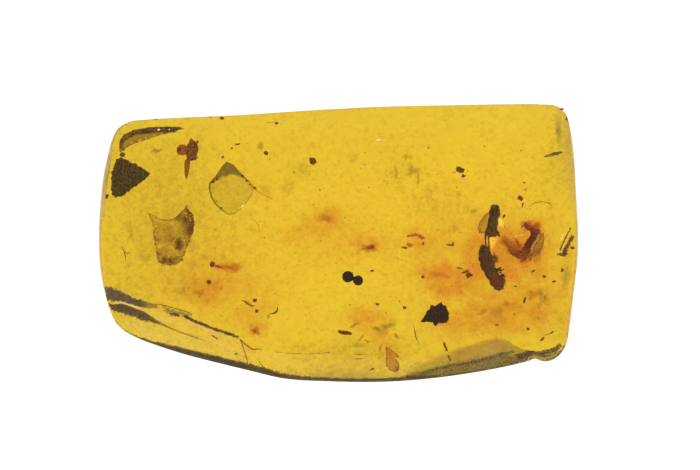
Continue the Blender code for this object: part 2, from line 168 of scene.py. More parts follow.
class InclusionSettings(bpy.types.PropertyGroup):
    """What is sealed in the amber."""

    chitin: FloatVectorProperty(name="Dark insect", description="Colour of the large insect",
                                subtype="COLOR", default=(0.12, 0.055, 0.02), min=0, max=1)
    red_brown: FloatVectorProperty(name="Red insect", description="Colour of the curled insect",
                                   subtype="COLOR", default=(1.0, 0.46, 0.09), min=0, max=1)
    leaf: FloatVectorProperty(name="Leaf", description="Colour of the leaf scrap",
                              subtype="COLOR", default=(0.72, 0.32, 0.08), min=0, max=1)
    pellet: FloatVectorProperty(name="Pellets", description="Colour of the round pellets",
                                subtype="COLOR", default=(0.03, 0.018, 0.008), min=0, max=1)
    bark: FloatVectorProperty(name="Bark", description="Colour of the dark flake and the crumb",
                              subtype="COLOR", default=(0.34, 0.27, 0.13), min=0, max=1)
    # Colour of the painted dark reflection along the ground corner's ridges
    skin: FloatVectorProperty(name="Painted shade films", description="Colour of the painted dark reflection on the ridges",
                              subtype="COLOR", default=(0.46, 0.27, 0.07), min=0, max=1)
    # Colour of the painted shade along the near edge
    near_edge_shade: FloatVectorProperty(name="Near edge shade", description="Colour of the painted shade along the near edge",
                                  subtype="COLOR", default=(0.4, 0.26, 0.06), min=0, max=1)
    grains: IntProperty(name="Grains", description="How many dust grains lie in the amber",
                        default=150, min=0)
    seed: IntProperty(name="Seed", description="Seed of everything random", default=7, min=0)


class StageSettings(bpy.types.PropertyGroup):
    """Floor, light and camera."""

    floor_size: FloatProperty(name="Floor size", description="Width of the square floor",
                              default=1.6, min=0.1, unit="LENGTH")
    floor_glow: FloatProperty(name="Floor glow", description="Light given off by the pale floor",
                              default=0.77, min=0)
    sky: FloatProperty(name="Studio light", description="Brightness of the studio overhead",
                       default=0.7, min=0)
    horizon: FloatProperty(name="Horizon light", description="Brightness of the studio low down",
                           default=0.3, min=0)
    distance: FloatProperty(name="Camera distance", description="Height of the camera",
                            default=0.6, min=0.1, unit="LENGTH")
    view_width: FloatProperty(name="View width", description="Width that the camera sees",
                              default=0.042, min=0.01, unit="LENGTH")
    centre: FloatVectorProperty(name="View centre", description="Where the camera looks, in plan",
                                size=2, default=(0.00069, 0.00048), unit="LENGTH")


# ---------------------------------------------------------------------------------------------
# Materials

class Socket:
    """An output socket that takes part in sums."""

    def __init__(self, graph, socket):
        self.graph = graph
        self.socket = socket

    def maths(self, operation, *others):
        return self.graph.node("ShaderNodeMath", {"operation": operation}, [self, *others])

    def __add__(self, other):
        return self.maths("ADD", other)

    def __mul__(self, other):
        return self.maths("MULTIPLY", other)

    def __sub__(self, other):
        return self.maths("SUBTRACT", other)

    def __rsub__(self, other):
        return self.graph.node("ShaderNodeMath", {"operation": "SUBTRACT"}, [other, self])

    __radd__ = __add__
    __rmul__ = __mul__

    def clamp(self):
        return self.graph.node("ShaderNodeClamp", {}, [self])

    def ease(self, low, high):
        """0 below low, 1 above high, smooth between. High may be the lower one."""
        return self.graph.node("ShaderNodeMapRange", {"interpolation_type": "SMOOTHSTEP"},
                               [self, low, high, 0.0, 1.0])


class Graph:
    """The nodes of one material, world or geometry tree."""

    def __init__(self, tree):
        self.tree = tree
        tree.nodes.clear()

    def node(self, kind, settings, inputs, output=0):
        """Add a node, set it up, then give its sockets values or links. Returns one output."""
        made = self.tree.nodes.new(kind)
        for key, value in settings.items():
            setattr(made, key, value)
        pairs = inputs.items() if isinstance(inputs, dict) else enumerate(inputs)
        for key, value in pairs:
            if isinstance(value, Socket):
                self.tree.links.new(value.socket, made.inputs[key])
            elif value is not None:
                made.inputs[key].default_value = value
        return Socket(self, made.outputs[output]) if len(made.outputs) else made

    def place(self):
        """Object coordinates."""
        return self.node("ShaderNodeTexCoord", {}, {}, output="Object")

    def attribute(self, name):
        return self.node("ShaderNodeAttribute", {"attribute_name": name}, {}, output="Fac")

    def vector(self, operation, *inputs, output=0):
        return self.node("ShaderNodeVectorMath", {"operation": operation}, inputs, output)

    def noise(self, size, detail=2.0, roughness=0.5, stretch=(1, 1, 1), warp=0.0):
        """Noise between 0 and 1 whose features are about size millimetres wide."""
        place = self.vector("MULTIPLY", self.place(), stretch)
        return self.node("ShaderNodeTexNoise", {}, {
            "Vector": place, "Scale": 1 / (size * MM), "Detail": detail, "Roughness": roughness,
            "Distortion": warp,
        })

    def cells(self, size):
        return self.node("ShaderNodeTexVoronoi", {}, {
            "Vector": self.place(), "Scale": 1 / (size * MM)})

    def mix(self, share, first, second, blend="MIX"):
        """A colour between two."""
        return self.node("ShaderNodeMix", {"data_type": "RGBA", "blend_type": blend}, {
            0: share, 6: opaque(first), 7: opaque(second)}, output=2)

    def tint(self, share, base, colour):
        """A base colour multiplied by another by a share."""
        return self.mix(share, base, colour, "MULTIPLY")

    def warped(self, size, reach):
        """Object coordinates pushed about by noise of a size, by up to a reach in millimetres."""
        push = self.node("ShaderNodeTexNoise", {}, {
            "Vector": self.place(), "Scale": 1 / (size * MM), "Detail": 3.0}, output="Color")
        push = self.vector("SUBTRACT", push, (0.5, 0.5, 0.5))
        push = self.vector("MULTIPLY", push, (reach * MM * 2,) * 3)
        return self.vector("ADD", self.place(), push)

    def bump(self, height, distance):
        return self.node("ShaderNodeBump", {}, {"Height": height, "Distance": distance * MM})

    def spot(self, x, y, across, up, soft=1.0, place=None):
        """1 at a place in plan, easing to 0 at an ellipse round it, in millimetres."""
        away = self.vector("SUBTRACT", place or self.place(), (x * MM, y * MM, 0))
        away = self.vector("MULTIPLY", away, (1 / (across * MM), 1 / (up * MM), 0))
        return self.vector("LENGTH", away, output="Value").ease(1.0, 1.0 - soft)


def opaque(colour):
    return colour if isinstance(colour, Socket) else (*colour, 1.0)


def surface(name, shader_inputs, volume=None):
    """A material of one Principled shader. shader_inputs is a function of its graph."""
    made = bpy.data.materials.new(name)
    made.use_nodes = True
    graph = Graph(made.node_tree)
    shader = graph.node("ShaderNodeBsdfPrincipled", {}, shader_inputs(graph))
    ends = {"Surface": shader}
    if volume:
        colour, density = volume
        ends["Volume"] = graph.node("ShaderNodeVolumeAbsorption", {}, [opaque(colour), density])
    graph.node("ShaderNodeOutputMaterial", {}, ends)
    return made


# Clouds in plan: (x, y, half width, half height, strength). The first are orange, the others
# a smoky olive.
CLOUDS = (
    (8.6, -1, 7.5, 6, 0.6), (-7, -2.4, 6, 3.6, 0.5), (0.2, 0.4, 5.5, 2.6, 0.45),
    (9.9, -0.6, 2.6, 2.2, 0.5), (9.4, -4.4, 4.8, 2.2, 0.7), (12, -3.4, 2.4, 2.6, 0.5),
    (10.4, 0, 1.5, 1, 1.5), (9.9, -1.5, 1.2, 1.6, 1.2), (8.3, -1.2, 1, 1.9, 1),
    (11.6, 0.9, 1.1, 0.9, 1), (11.2, -0.9, 1, 0.7, 1), (9.2, 1, 2, 1.8, 0.4),
    (12.3, 0.2, 1.2, 1.6, 0.35), (6.1, -2.4, 1.3, 1.4, 1.2), (6.4, -1.75, 2.2, 0.55, 1.3),
    (7.2, -2.6, 1.6, 0.9, 0.8), (4.6, 0.1, 1.5, 1, 0.7), (1.6, -0.1, 1.4, 0.8, 1.1),
    (-0.8, 1.4, 1.5, 1.2, 0.9), (-2.6, 0.6, 1.6, 1, 0.3), (1.6, -4.6, 2.2, 1.2, 0.9),
    (2.7, -5.9, 1.6, 1.1, 0.9), (6.8, -4.8, 2.8, 1.3, 0.6), (-4.95, -5.2, 0.9, 0.8, 1.2),
    (-6.6, -1.4, 1, 0.6, 0.8), (-5.3, -4.2, 1.5, 1.6, 0.4), (-8.2, -3.2, 2.2, 1.2, 0.4),
    (-7.4, -2.4, 1.8, 1, 0.4), (11.9, -1.7, 1.2, 2.4, 0.35), (13.7, -1, 0.6, 1.8, 0.6),
    (11, -4.6, 2.4, 1.4, 0.3), (-4.7, 3.2, 1.6, 1, 0.3), (-10.2, 0.6, 1.6, 2, 0.25),
)
SMOKE = (
    (-10.4, 4.6, 5, 3.2, 0.5), (-9.6, 0.8, 6.5, 5.5, 0.8), (0.8, -6.8, 7, 1.7, 0.8),
    (13.6, 5, 1.8, 3.6, 0.6), (-12.6, -3.4, 3.4, 2, 0.5), (5.5, 2.6, 3, 1.6, 0.35),
    (13.7, -5, 1.1, 2, 0.8), (-9.8, 1.2, 2.2, 2.4, 0.6), (-11.6, 0.4, 1.4, 2.4, 0.4),
    (-10.6, 3.4, 2.4, 1.2, 0.35), (-12.3, -2.4, 1.6, 1.2, 0.4), (-2.4, 4.2, 1.6, 1, 0.35),
    (3.6, 3.9, 1.5, 1.1, 0.45), (4.4, 4.6, 0.8, 0.5, 0.5), (-9, -2.8, 2.2, 1.4, 0.3),
    (2.4, -3.6, 2.2, 1, 0.3), (0.6, -6.6, 3, 0.9, 0.4), (12.6, 3, 1.4, 3, 0.25),
    (-5.5, 4, 2, 1.4, 0.25),
)


def cloud_cover(graph, place, clouds):
    """How thick a table of clouds lies over each place."""
    return sum(graph.spot(x, y, across, up, place=place) * strength
               for x, y, across, up, strength in clouds)


def amber_material():
    """Clear amber, coloured by absorption, with orange clouds, olive haze and a duller rim."""
    body = bpy.context.scene.amber_body

    def inputs(graph):
        place = graph.warped(0.9, 0.9)
        stain = cloud_cover(graph, place, CLOUDS)
        smoke = cloud_cover(graph, place, SMOKE)
        wisps = graph.noise(1.8, detail=5.0, roughness=0.65, warp=0.8)
        fine = graph.noise(0.5, detail=4.0, roughness=0.65)
        share = (stain * (wisps.ease(0.35, 0.6) * 0.7 + 0.3)
                 + fine.ease(0.45, 0.7) * wisps.ease(0.42, 0.6) * 0.2).clamp()
        tiny = graph.noise(0.22, detail=3.0, roughness=0.7)
        haze = (smoke * (fine.ease(0.4, 0.65) * 0.8 + 0.25) + wisps.ease(0.45, 0.7) * 0.15
                + fine.ease(0.45, 0.7) * 0.35 + tiny.ease(0.4, 0.7) * 0.65).clamp()
        swell = graph.noise(3.5, detail=2.0) * body.waviness
        scratch = graph.noise(0.5, detail=3.0, stretch=(1.0, 0.15, 1.0)) * (body.waviness * 0.02)
        edge = graph.attribute("rim").ease(0.0, 1.0)
        clear = graph.mix(edge, (1.0, 1.0, 1.0), body.rim)
        stained = graph.tint(share, clear, body.stain)
        return {
            "Base Color": graph.tint(haze, stained, body.smoke),
            "Roughness": graph.noise(1.5, detail=3.0).ease(0.45, 0.8) * 0.03 + 0.005,
            "IOR": body.ior,
            "Transmission Weight": 1.0,
            "Normal": graph.node("ShaderNodeBump", {}, {
                "Height": swell + scratch, "Distance": 1.0}),
        }

    return surface("amber_clear", inputs, (body.tint, body.density))


def matt(graph, colour, grain, bump, roughness=0.35):
    """The inputs of a matt body that is rougher where its grain is lighter."""
    return {
        "Base Color": colour,
        "Roughness": grain * 0.3 + roughness,
        "Normal": graph.bump(grain, bump),
    }


def dull(name, colour, size, contrast=0.5, light=None, roughness=0.5, bump=0.02):
    """Opaque organic matter with mottled colour."""
    light = light or tuple(min(1.0, c * 2.2) for c in colour)
    dark = tuple(c * (1 - contrast) for c in colour)

    def inputs(graph):
        blotch = graph.noise(size * 3, detail=3.0, roughness=0.6)
        grain = graph.noise(size, detail=3.0, roughness=0.65)
        base = graph.mix(blotch.ease(0.35, 0.65), dark, colour)
        return matt(graph, graph.mix(grain.ease(0.52, 0.75) * 0.7, base, light), grain, bump,
                    roughness - 0.15)

    return surface(name, inputs)


def film(name, light, dark, grain, ragged, roughness=0.5, glow=0.0, clear=0.0):
    """A thin film, ragged where its own edge fades, mottled between a light and a dark tone. Glow
    stands for light caught in a flaw, and clear for how much light goes through it."""

    def inputs(graph):
        mottle = graph.noise(grain, detail=4.0, roughness=0.65)
        broad = graph.noise(grain * 4, detail=2.0)
        grit = graph.noise(GRIT, detail=3.0, roughness=0.7).ease(0.35, 0.65) - 0.5
        patchy = (mottle * 0.6 + broad * 0.4).ease(0.35, 0.65) - 0.5
        edge = (graph.attribute("edge") + (patchy + grit * 0.6) * ragged).ease(0.15, 0.7)
        tone = (graph.attribute("tone") + patchy * 0.7 + grit * 0.7).clamp()
        colour = graph.mix(tone, light, dark)
        return {
            "Base Color": colour,
            "Roughness": mottle * 0.3 + (roughness - 0.15),
            "IOR": 1.2 if clear else 1.45,
            "Alpha": edge * graph.attribute("opacity"),
            "Normal": graph.bump(mottle, 0.01),
            "Transmission Weight": clear,
            "Emission Color": colour,
            "Emission Strength": glow,
        }

    return surface(name, inputs)


# ---------------------------------------------------------------------------------------------
# Shapes, in millimetres

def loose(name, bm):
    """A passing object, for a modifier to change or to cut with."""
    mesh = bpy.data.meshes.new(name)
    bm.to_mesh(mesh)
    bm.free()
    made = bpy.data.objects.new(name, mesh)
    bpy.context.scene.collection.objects.link(made)
    return made


def evaluated(holder):
    """An object with its modifiers applied."""
    return holder.evaluated_get(bpy.context.evaluated_depsgraph_get())


def discard(*holders):
    """Remove passing objects and their meshes."""
    for holder in holders:
        mesh = holder.data
        bpy.data.objects.remove(holder)
        bpy.data.meshes.remove(mesh)


def finish_mesh(mesh):
    """Millimetres to metres, smooth shaded."""
    mesh.transform(Matrix.Scale(MM, 4))
    mesh.shade_smooth()
    return mesh


def finish_piece(name, bm, *materials, recalculate=True):
    """A piece of the scene made of a bmesh in millimetres."""
    if recalculate:
        bmesh.ops.recalc_face_normals(bm, faces=bm.faces)
    mesh = bpy.data.meshes.new(name)
    bm.to_mesh(mesh)
    bm.free()
    return link_piece(name, finish_mesh(mesh), *materials)


def link_piece(name, mesh, *materials):
    """Put a mesh into the scene as a piece with its materials."""
    piece = bpy.data.objects.new(name, mesh)
    bpy.context.scene.collection.objects.link(piece)
    mesh.materials.clear()
    for material in materials:
        mesh.materials.append(material)
    return piece


def fused(name, bm, voxel, material, lumps, lump_size, smooth=3):
    """Shapes that overlap made one closed skin, with a lumpy surface."""
    bmesh.ops.recalc_face_normals(bm, faces=bm.faces)
    holder = loose(name + "_rough", bm)
    remesh = holder.modifiers.new("fuse", "REMESH")
    remesh.mode = "VOXEL"
    remesh.voxel_size = voxel
    relax = holder.modifiers.new("relax", "SMOOTH")
    relax.iterations = smooth
    mesh = bpy.data.meshes.new_from_object(evaluated(holder))
    mesh.name = name
    discard(holder)
    normals = [vertex.normal.copy() for vertex in mesh.vertices]
    for vertex, normal in zip(mesh.vertices, normals):
        place = vertex.co / lump_size
        push = noise.noise(place) + 0.5 * noise.noise(place * 2.3)
        vertex.co += normal * push * lumps
    return link_piece(name, finish_mesh(mesh), material)


def smooth_rows(rows, steps, closed=False):
    """Rows of numbers on a smooth curve through the given rows."""
    count = len(rows)

    def neighbour(i):
        return rows[i % count] if closed else rows[min(max(i, 0), count - 1)]

    def span(i):
        return max(math.dist(neighbour(i)[:2], neighbour(i + 1)[:2]), 1e-6)

    def slope(i):
        if not closed and i in (0, count - 1):
            k = min(i, count - 2)
            return [(a - h) / span(k) for h, a in zip(rows[k], rows[k + 1])]
        back, ahead = span(i - 1), span(i)
        return [((h - b) / back * ahead + (a - h) / ahead * back) / (back + ahead)
                for b, h, a in zip(neighbour(i - 1), neighbour(i), neighbour(i + 1))]

    result = []
    for i in range(count if closed else count - 1):
        reach, leave, arrive = span(i), slope(i), slope((i + 1) % count if closed else i + 1)
        for step in range(steps):
            t = step / steps
            result.append([
                (2 * t**3 - 3 * t**2 + 1) * p + (t**3 - 2 * t**2 + t) * m * reach
                + (3 * t**2 - 2 * t**3) * q + (t**3 - t**2) * n * reach
                for p, q, m, n in zip(neighbour(i), neighbour(i + 1), leave, arrive)
            ])
    if not closed:
        result.append(list(rows[-1]))
    return result


def tube(bm, spine, sides=14, flatness=0.85, steps=5, rings=0, groove=0.0):
    """A round closed shape along a spine of rows (x, y, z, width). z counts from the middle layer."""
    rows = smooth_rows(spine, steps)
    points = [Vector((row[0], row[1], MIDDLE + row[2])) for row in rows]
    tips = bm.verts.new(points[0]), bm.verts.new(points[-1])
    loops = []
    for i in range(1, len(points) - 1):
        along = (points[i + 1] - points[i - 1]).normalized()
        across = along.cross(Vector((0, 0, 1))).normalized()
        up = across.cross(along)
        waist = 1 - groove * abs(math.cos(math.pi * rings * i / len(points))) ** 8
        radius = max(rows[i][3], 0.02) / 2 * waist
        loops.append([bm.verts.new(points[i] + across * radius * math.cos(turn)
                                   + up * radius * flatness * math.sin(turn))
                      for turn in (2 * math.pi * k / sides for k in range(sides))])
    for near, far in zip(loops, loops[1:]):
        for k in range(sides):
            bm.faces.new((near[k], near[k - 1], far[k - 1], far[k]))
    for tip, loop in ((tips[0], loops[0]), (tips[1], loops[-1])):
        for k in range(sides):
            bm.faces.new((tip, loop[k], loop[k - 1]))


def limbs(bm, rows, width=None):
    """Short pointed legs, each by its root, its thickest place, its tip and its width."""
    for start, middle, end, *own in rows:
        tube(bm, ((*start, 0), (*middle, own[0] if own else width), (*end, 0)), sides=7)


def ball(bm, x, y, z, diameter, stretch=(1, 1, 1), turn=0.0, fine=3):
    """A ball, stretched and turned about the upright."""
    place = (Matrix.Translation((x, y, MIDDLE + z)) @ Matrix.Rotation(math.radians(turn), 4, "Z")
             @ Matrix.Diagonal((*stretch, 1)))
    return bmesh.ops.create_icosphere(bm, subdivisions=fine, radius=diameter / 2,
                                      matrix=place)["verts"]


def even_points(points, count, closed=False):
    """Points evenly spaced along a line through the given points."""
    line = [Vector(p) for p in points] + ([Vector(points[0])] if closed else [])
    lengths = [0.0]
    for near, far in zip(line, line[1:]):
        lengths.append(lengths[-1] + (far - near).length)
    result, k = [], 0
    for i in range(count):
        goal = lengths[-1] * i / (count if closed else count - 1)
        while k < len(line) - 2 and lengths[k + 1] < goal:
            k += 1
        part = (goal - lengths[k]) / max(lengths[k + 1] - lengths[k], 1e-9)
        result.append(line[k].lerp(line[k + 1], min(part, 1.0)))
    return result


def sheet_layers(bm):
    """The numbers that a film's material reads: how far inside its edge, how opaque, how dark."""
    layers = bm.verts.layers.float
    return [layers.get(name) or layers.new(name) for name in ("edge", "opacity", "tone")]


def fade(u, v, start, end, first=0.2, last=0.2):
    """1 inside a sheet, easing to 0 over a share of its length or width at each of its edges."""
    parts = ((u, start), (1 - u, end), (v, first), (1 - v, last))
    return min(1.0, *(away / reach for away, reach in parts if reach))


def worn(solid, dark, start=0.1, end=0.1, first=0.2, last=0.2):
    """The look of a sheet that frays at its edges."""
    return lambda u, v: (fade(u, v, start, end, first, last), solid, dark)


def round_look(solid, dark, crisp=3.0):
    """The look of a blot that frays at its edge."""
    return lambda point, r: (min(1.0, (1 - r) * crisp), solid, dark)


def cloudy(solid, dark, spread):
    """The look of a blot that grows fainter outwards."""
    return lambda point, r: (1.0, solid * min(1.0, (1 - r) * spread), dark)


def faint_band(solid):
    """The look of a sheet that grows fainter from its middle to all its edges."""
    return lambda u, v: (1.0, solid * (1 - abs(2 * v - 1)) * (1 - abs(2 * u - 1)), 0.1)


def grid_sheet(bm, rows, thickness, look, facings=None):
    """A thin closed sheet over rows of points, thinnest at its edges. look(u, v) gives the edge,
    the opacity and the tone. Without facings it lies level."""
    layers = sheet_layers(bm)
    last, end = len(rows) - 1, len(rows[0]) - 1
    sides = []
    for side in (0.5, -0.5):
        made = []
        for i, row in enumerate(rows):
            line = []
            for j, point in enumerate(row):
                u, v = i / last, j / end
                thin = min(1.0, 8 * min(u, 1 - u, v, 1 - v) + 0.15)
                facing = facings[i][j] if facings else Vector((0, 0, 1))
                vertex = bm.verts.new(point + facing * side * thickness * thin)
                for layer, value in zip(layers, look(u, v)):
                    vertex[layer] = value
                line.append(vertex)
            made.append(line)
        sides.append(made)
    upper, lower = sides
    for i in range(last):
        for j in range(end):
            bm.faces.new((upper[i][j], upper[i + 1][j], upper[i + 1][j + 1], upper[i][j + 1]))
            bm.faces.new((lower[i][j], lower[i][j + 1], lower[i + 1][j + 1], lower[i + 1][j]))
        for j in (0, end):
            bm.faces.new((upper[i][j], upper[i + 1][j], lower[i + 1][j], lower[i][j]))
    for j in range(end):
        for i in (0, last):
            bm.faces.new((upper[i][j], upper[i][j + 1], lower[i][j + 1], lower[i][j]))


def strip(bm, left, right, place, look, along, across):
    """A thin sheet between two edges in plan. place(x, y) gives its points."""
    starts, ends = even_points(left, along + 1), even_points(right, along + 1)
    rows = []
    for start, end in zip(starts, ends):
        flat = [start.lerp(end, j / across) for j in range(across + 1)]
        rows.append([place(p.x, p.y) for p in flat])
    grid_sheet(bm, rows, FILM, look)


def ribbon(bm, line, width, place, look, along=30, across=4):
    """A thin sheet along a line in plan."""
    points = even_points([row[:2] for row in smooth_rows(line, 6)], along + 1)
    left, right = [], []
    for i, point in enumerate(points):
        way = (points[min(i + 1, along)] - points[max(i - 1, 0)]).normalized()
        aside = Vector((-way.y, way.x)) * width / 2
        left.append(point + aside)
        right.append(point - aside)
    rows = [[place(*a.lerp(b, j / across)) for j in range(across + 1)] for a, b in zip(left, right)]
    grid_sheet(bm, rows, min(FILM, width / 3), look)


def patch(bm, outline, place, thickness, look=None, *, rings, sectors, centre=None):
    """A closed plate inside an outline that its centre sees all of. place(x, y, r) gives points,
    and look(point, r) the edge, the opacity and the tone."""
    layers = sheet_layers(bm)
    edge = even_points(outline, sectors, closed=True)
    middle = Vector(centre) if centre else sum(edge, Vector((0, 0))) / sectors
    hubs, sides = [], []
    for side in (0.5, -0.5):
        def vertex(point, r):
            full = math.sqrt(max(0.0, 1 - r * r)) * 0.9 + 0.1
            spot = place(point.x, point.y, r) + Vector((0, 0, side * thickness(point, r) * full))
            made = bm.verts.new(spot)
            for layer, value in zip(layers, look(point, r) if look else (1.0, 1.0, 0.5)):
                made[layer] = value
            return made

        hubs.append(vertex(middle, 0.0))
        sides.append([[vertex(middle.lerp(p, ring / rings), ring / rings) for p in edge]
                      for ring in range(1, rings + 1)])
    for hub, made in zip(hubs, sides):
        for k in range(sectors):
            bm.faces.new((hub, made[0][k - 1], made[0][k]))
            for near, far in zip(made, made[1:]):
                bm.faces.new((near[k - 1], far[k - 1], far[k], near[k]))
    upper, lower = sides[0][-1], sides[1][-1]
    for k in range(sectors):
        bm.faces.new((upper[k - 1], upper[k], lower[k], lower[k - 1]))


def blot(bm, x, y, across, up, place, look, turn=0.0, ragged=0.25, rings=5, sectors=28):
    """A small ragged round patch, with its full width and height."""
    way = math.radians(turn)
    outline = []
    for k in range(sectors):
        angle = 2 * math.pi * k / sectors
        grow = 1 + ragged * noise.noise(Vector((math.cos(angle) * 1.5, math.sin(angle) * 1.5, x + y)))
        a, b = math.cos(angle) * across / 2 * grow, math.sin(angle) * up / 2 * grow
        outline.append((x + a * math.cos(way) - b * math.sin(way),
                        y + a * math.sin(way) + b * math.cos(way)))
    patch(bm, outline, lambda px, py, r: place(px, py), lambda p, r: FILM, look,
          rings=rings, sectors=sectors, centre=(x, y))


def level(height, roll=0.0, size=0.5):
    """A function of a place in plan that gives a point at a height, uneven by a roll."""
    return lambda x, y: Vector((x, y, height + roll * rough(x, y, size=size)))


def rough(x, y, z=0.0, size=1.0):
    """Smooth noise about 0 at a place."""
    return noise.noise(Vector((x, y, z)) / size)


# ---------------------------------------------------------------------------------------------
# The amber

def inward_directions(points):
    """Smoothed ways in from each point of the outline."""
    count = len(points)
    normals = []
    for i in range(count):
        along = points[(i + 1) % count] - points[i - 1]
        normals.append(Vector((along.y, -along.x)).normalized())
    reach = range(-SMOOTHING_REACH * OUTLINE_STEPS, SMOOTHING_REACH * OUTLINE_STEPS + 1)
    return [sum((normals[(i + k) % count] for k in reach), Vector((0, 0))).normalized()
            for i in range(count)]


def rim_profile(row):
    """(inset, height) pairs up the side of the piece, from the underside to the top."""
    upper_run, upper_drop, lower_run, lower_rise = row[2:6]
    quarter = [math.pi / 2 * step / RIM_STEPS for step in range(RIM_STEPS + 1)]
    lower = [(lower_run * (1 - math.sin(turn)), lower_rise * (1 - math.cos(turn)))
             for turn in quarter]
    upper = [(upper_run * (1 - math.cos(turn)), THICKNESS - upper_drop * (1 - math.sin(turn)))
             for turn in quarter]
    return lower + upper


def facet_plane(x1, y1, x2, y2, depth, slope):
    """A point and the facing of a flat that slopes away from a line in plan."""
    edge = Vector((x2 - x1, y2 - y1, 0)).normalized()
    tilt = math.radians(slope)
    facing = edge.cross(Vector((0, 0, 1))) * math.sin(tilt) + Vector((0, 0, math.cos(tilt)))
    return Vector((x1, y1, THICKNESS - depth)), facing


def cut_flat(bm, point, facing):
    """Cut off what lies beyond a plane, and close the cut."""
    geometry = bm.verts[:] + bm.edges[:] + bm.faces[:]
    bmesh.ops.bisect_plane(bm, geom=geometry, dist=1e-6, plane_co=point, plane_no=facing,
                           clear_outer=True)
    rim = [edge for edge in bm.edges if edge.is_boundary]
    bmesh.ops.contextual_create(bm, geom=rim)


def far_roll():
    """Narrow facets, each a little steeper, that roll the top down towards the far edge."""
    depth = 0.0
    for step in range(1, ROLL_STEPS + 1):
        slope = ROLL_SLOPE * step / ROLL_STEPS
        line = ROLL_START + ROLL_STEP * (step - 1)
        yield 13.30, line, -2.00, line, depth, slope
        depth += ROLL_STEP * math.tan(math.radians(slope))


def scoop_tool():
    """A wedge with a sloping floor, closed by a steep wall at its right end."""
    ridge_start, ridge_end = (Vector(p) for p in SCOOP_RIDGE)
    wall_start, wall_end = (Vector(p) for p in SCOOP_WALL_TOP)
    floor_fall = math.tan(math.radians(SCOOP_SLOPE)) * SCOOP_REACH
    along = (ridge_end - ridge_start).normalized()
    outward = Vector((along.y, -along.x))
    wall_along = (wall_end - wall_start).normalized()
    wall_out = Vector((wall_along.y, -wall_along.x))
    wall_shift = wall_out * (floor_fall / math.tan(math.radians(SCOOP_WALL_SLOPE)))
    near_start = ridge_start - along * SCOOP_REACH
    far_start = near_start + outward * SCOOP_REACH
    far_end = wall_start + wall_along * SCOOP_REACH * 1.2
    bm = bmesh.new()
    corners = [bm.verts.new((p.x, p.y, THICKNESS + 2))
               for p in (near_start, wall_start, far_end, far_start)]
    floor = zip((near_start, ridge_end, far_end + wall_shift, far_start),
                (0.0, 0.0, floor_fall, floor_fall))
    corners += [bm.verts.new((p.x, p.y, THICKNESS - depth)) for p, depth in floor]
    bmesh.ops.convex_hull(bm, input=corners)
    bmesh.ops.recalc_face_normals(bm, faces=bm.faces)
    return loose("scoop_tool", bm)


def fitted_outline():
    """The rows round the outline, its points in plan fitted to the CAD's box, and the ways in."""
    rows = smooth_rows(OUTLINE, OUTLINE_STEPS, closed=True)
    low = Vector((min(row[0] for row in rows), min(row[1] for row in rows)))
    high = Vector((max(row[0] for row in rows), max(row[1] for row in rows)))
    centre = (low + high) / 2
    points = [Vector(((row[0] - centre.x) * LENGTH / (high.x - low.x),
                      (row[1] - centre.y) * WIDTH / (high.y - low.y))) for row in rows]
    return rows, points, inward_directions(points)


def amber_mesh():
    """The whole clear piece, in millimetres."""
    rows, points, inward = fitted_outline()
    bm = bmesh.new()
    rings = []
    for level in zip(*(rim_profile(row) for row in rows)):
        rings.append([bm.verts.new((*(point + way * inset), height))
                      for point, way, (inset, height) in zip(points, inward, level)])
    for below, above in zip(rings, rings[1:]):
        for i in range(len(below)):
            bm.faces.new((below[i - 1], below[i], above[i], above[i - 1]))
    bm.faces.new(rings[0])
    bm.faces.new(rings[-1])
    bmesh.ops.recalc_face_normals(bm, faces=bm.faces)
    for facet in (*FACETS, *far_roll()):
        cut_flat(bm, *facet_plane(*facet))
    holder = loose("amber_rough", bm)
    tool = scoop_tool()
    cut = holder.modifiers.new("scoop", "BOOLEAN")
    cut.operation = "DIFFERENCE"
    cut.solver = "EXACT"
    cut.object = tool
    bm = bmesh.new()
    bm.from_mesh(evaluated(holder).to_mesh())
    discard(holder, tool)
    bmesh.ops.dissolve_degenerate(bm, dist=1e-4, edges=bm.edges)
    rim = bm.faces.layers.float.new("rim")
    for face in bm.faces:
        tilt = math.degrees(math.acos(min(1.0, abs(face.normal.z))))
        face[rim] = max(0.0, (tilt - RIM_TILT) / (90 - RIM_TILT))
        if face.calc_area() > BROAD and abs(face.normal.z) > STEEP:
            for edge in face.edges:
                edge.smooth = False
    return bm


def amber_body():
    """Make the clear piece, and return its surface in millimetres for what lies just under it."""
    bm = amber_mesh()
    bmesh.ops.scale(bm, vec=(SHY, SHY, SHY), verts=bm.verts)
    tree = BVHTree.FromBMesh(bm)
    piece = finish_piece("amber_clear", bm, amber_material(), recalculate=False)
    ride(piece, "amber", "amber_lower", "amber_upper")
    return tree


SURFACE = {}   # the amber's surface, for what lies just under it
EDGE_TRIES = 12
EDGE_PULL = 0.004
LIP = 0.03         # how far in from the outline its upper edge is felt for
SKIRT = 0.6        # how far a film reaches down the side
RIM_DEPTH = 0.025
RIM_FILM = 0.012   # thickness of such a film


def top_at(x, y):
    """The amber's surface over a place in plan and its facing there. A place just beyond the edge
    is drawn back onto it."""
    for _ in range(EDGE_TRIES):
        spot, normal, _, _ = SURFACE["tree"].ray_cast(Vector((x, y, THICKNESS + 1)),
                                                      Vector((0, 0, -1)))
        if spot is not None:
            return spot, normal
        x, y = x * (1 - EDGE_PULL), y * (1 - EDGE_PULL)
    raise RuntimeError(f"no amber over {x:.2f}, {y:.2f}")


def under_top(depth):
    """A function of a place in plan that gives the point at a depth under the amber's top."""

    def place(x, y):
        spot, normal = top_at(x, y)
        return spot - normal * depth

    return place


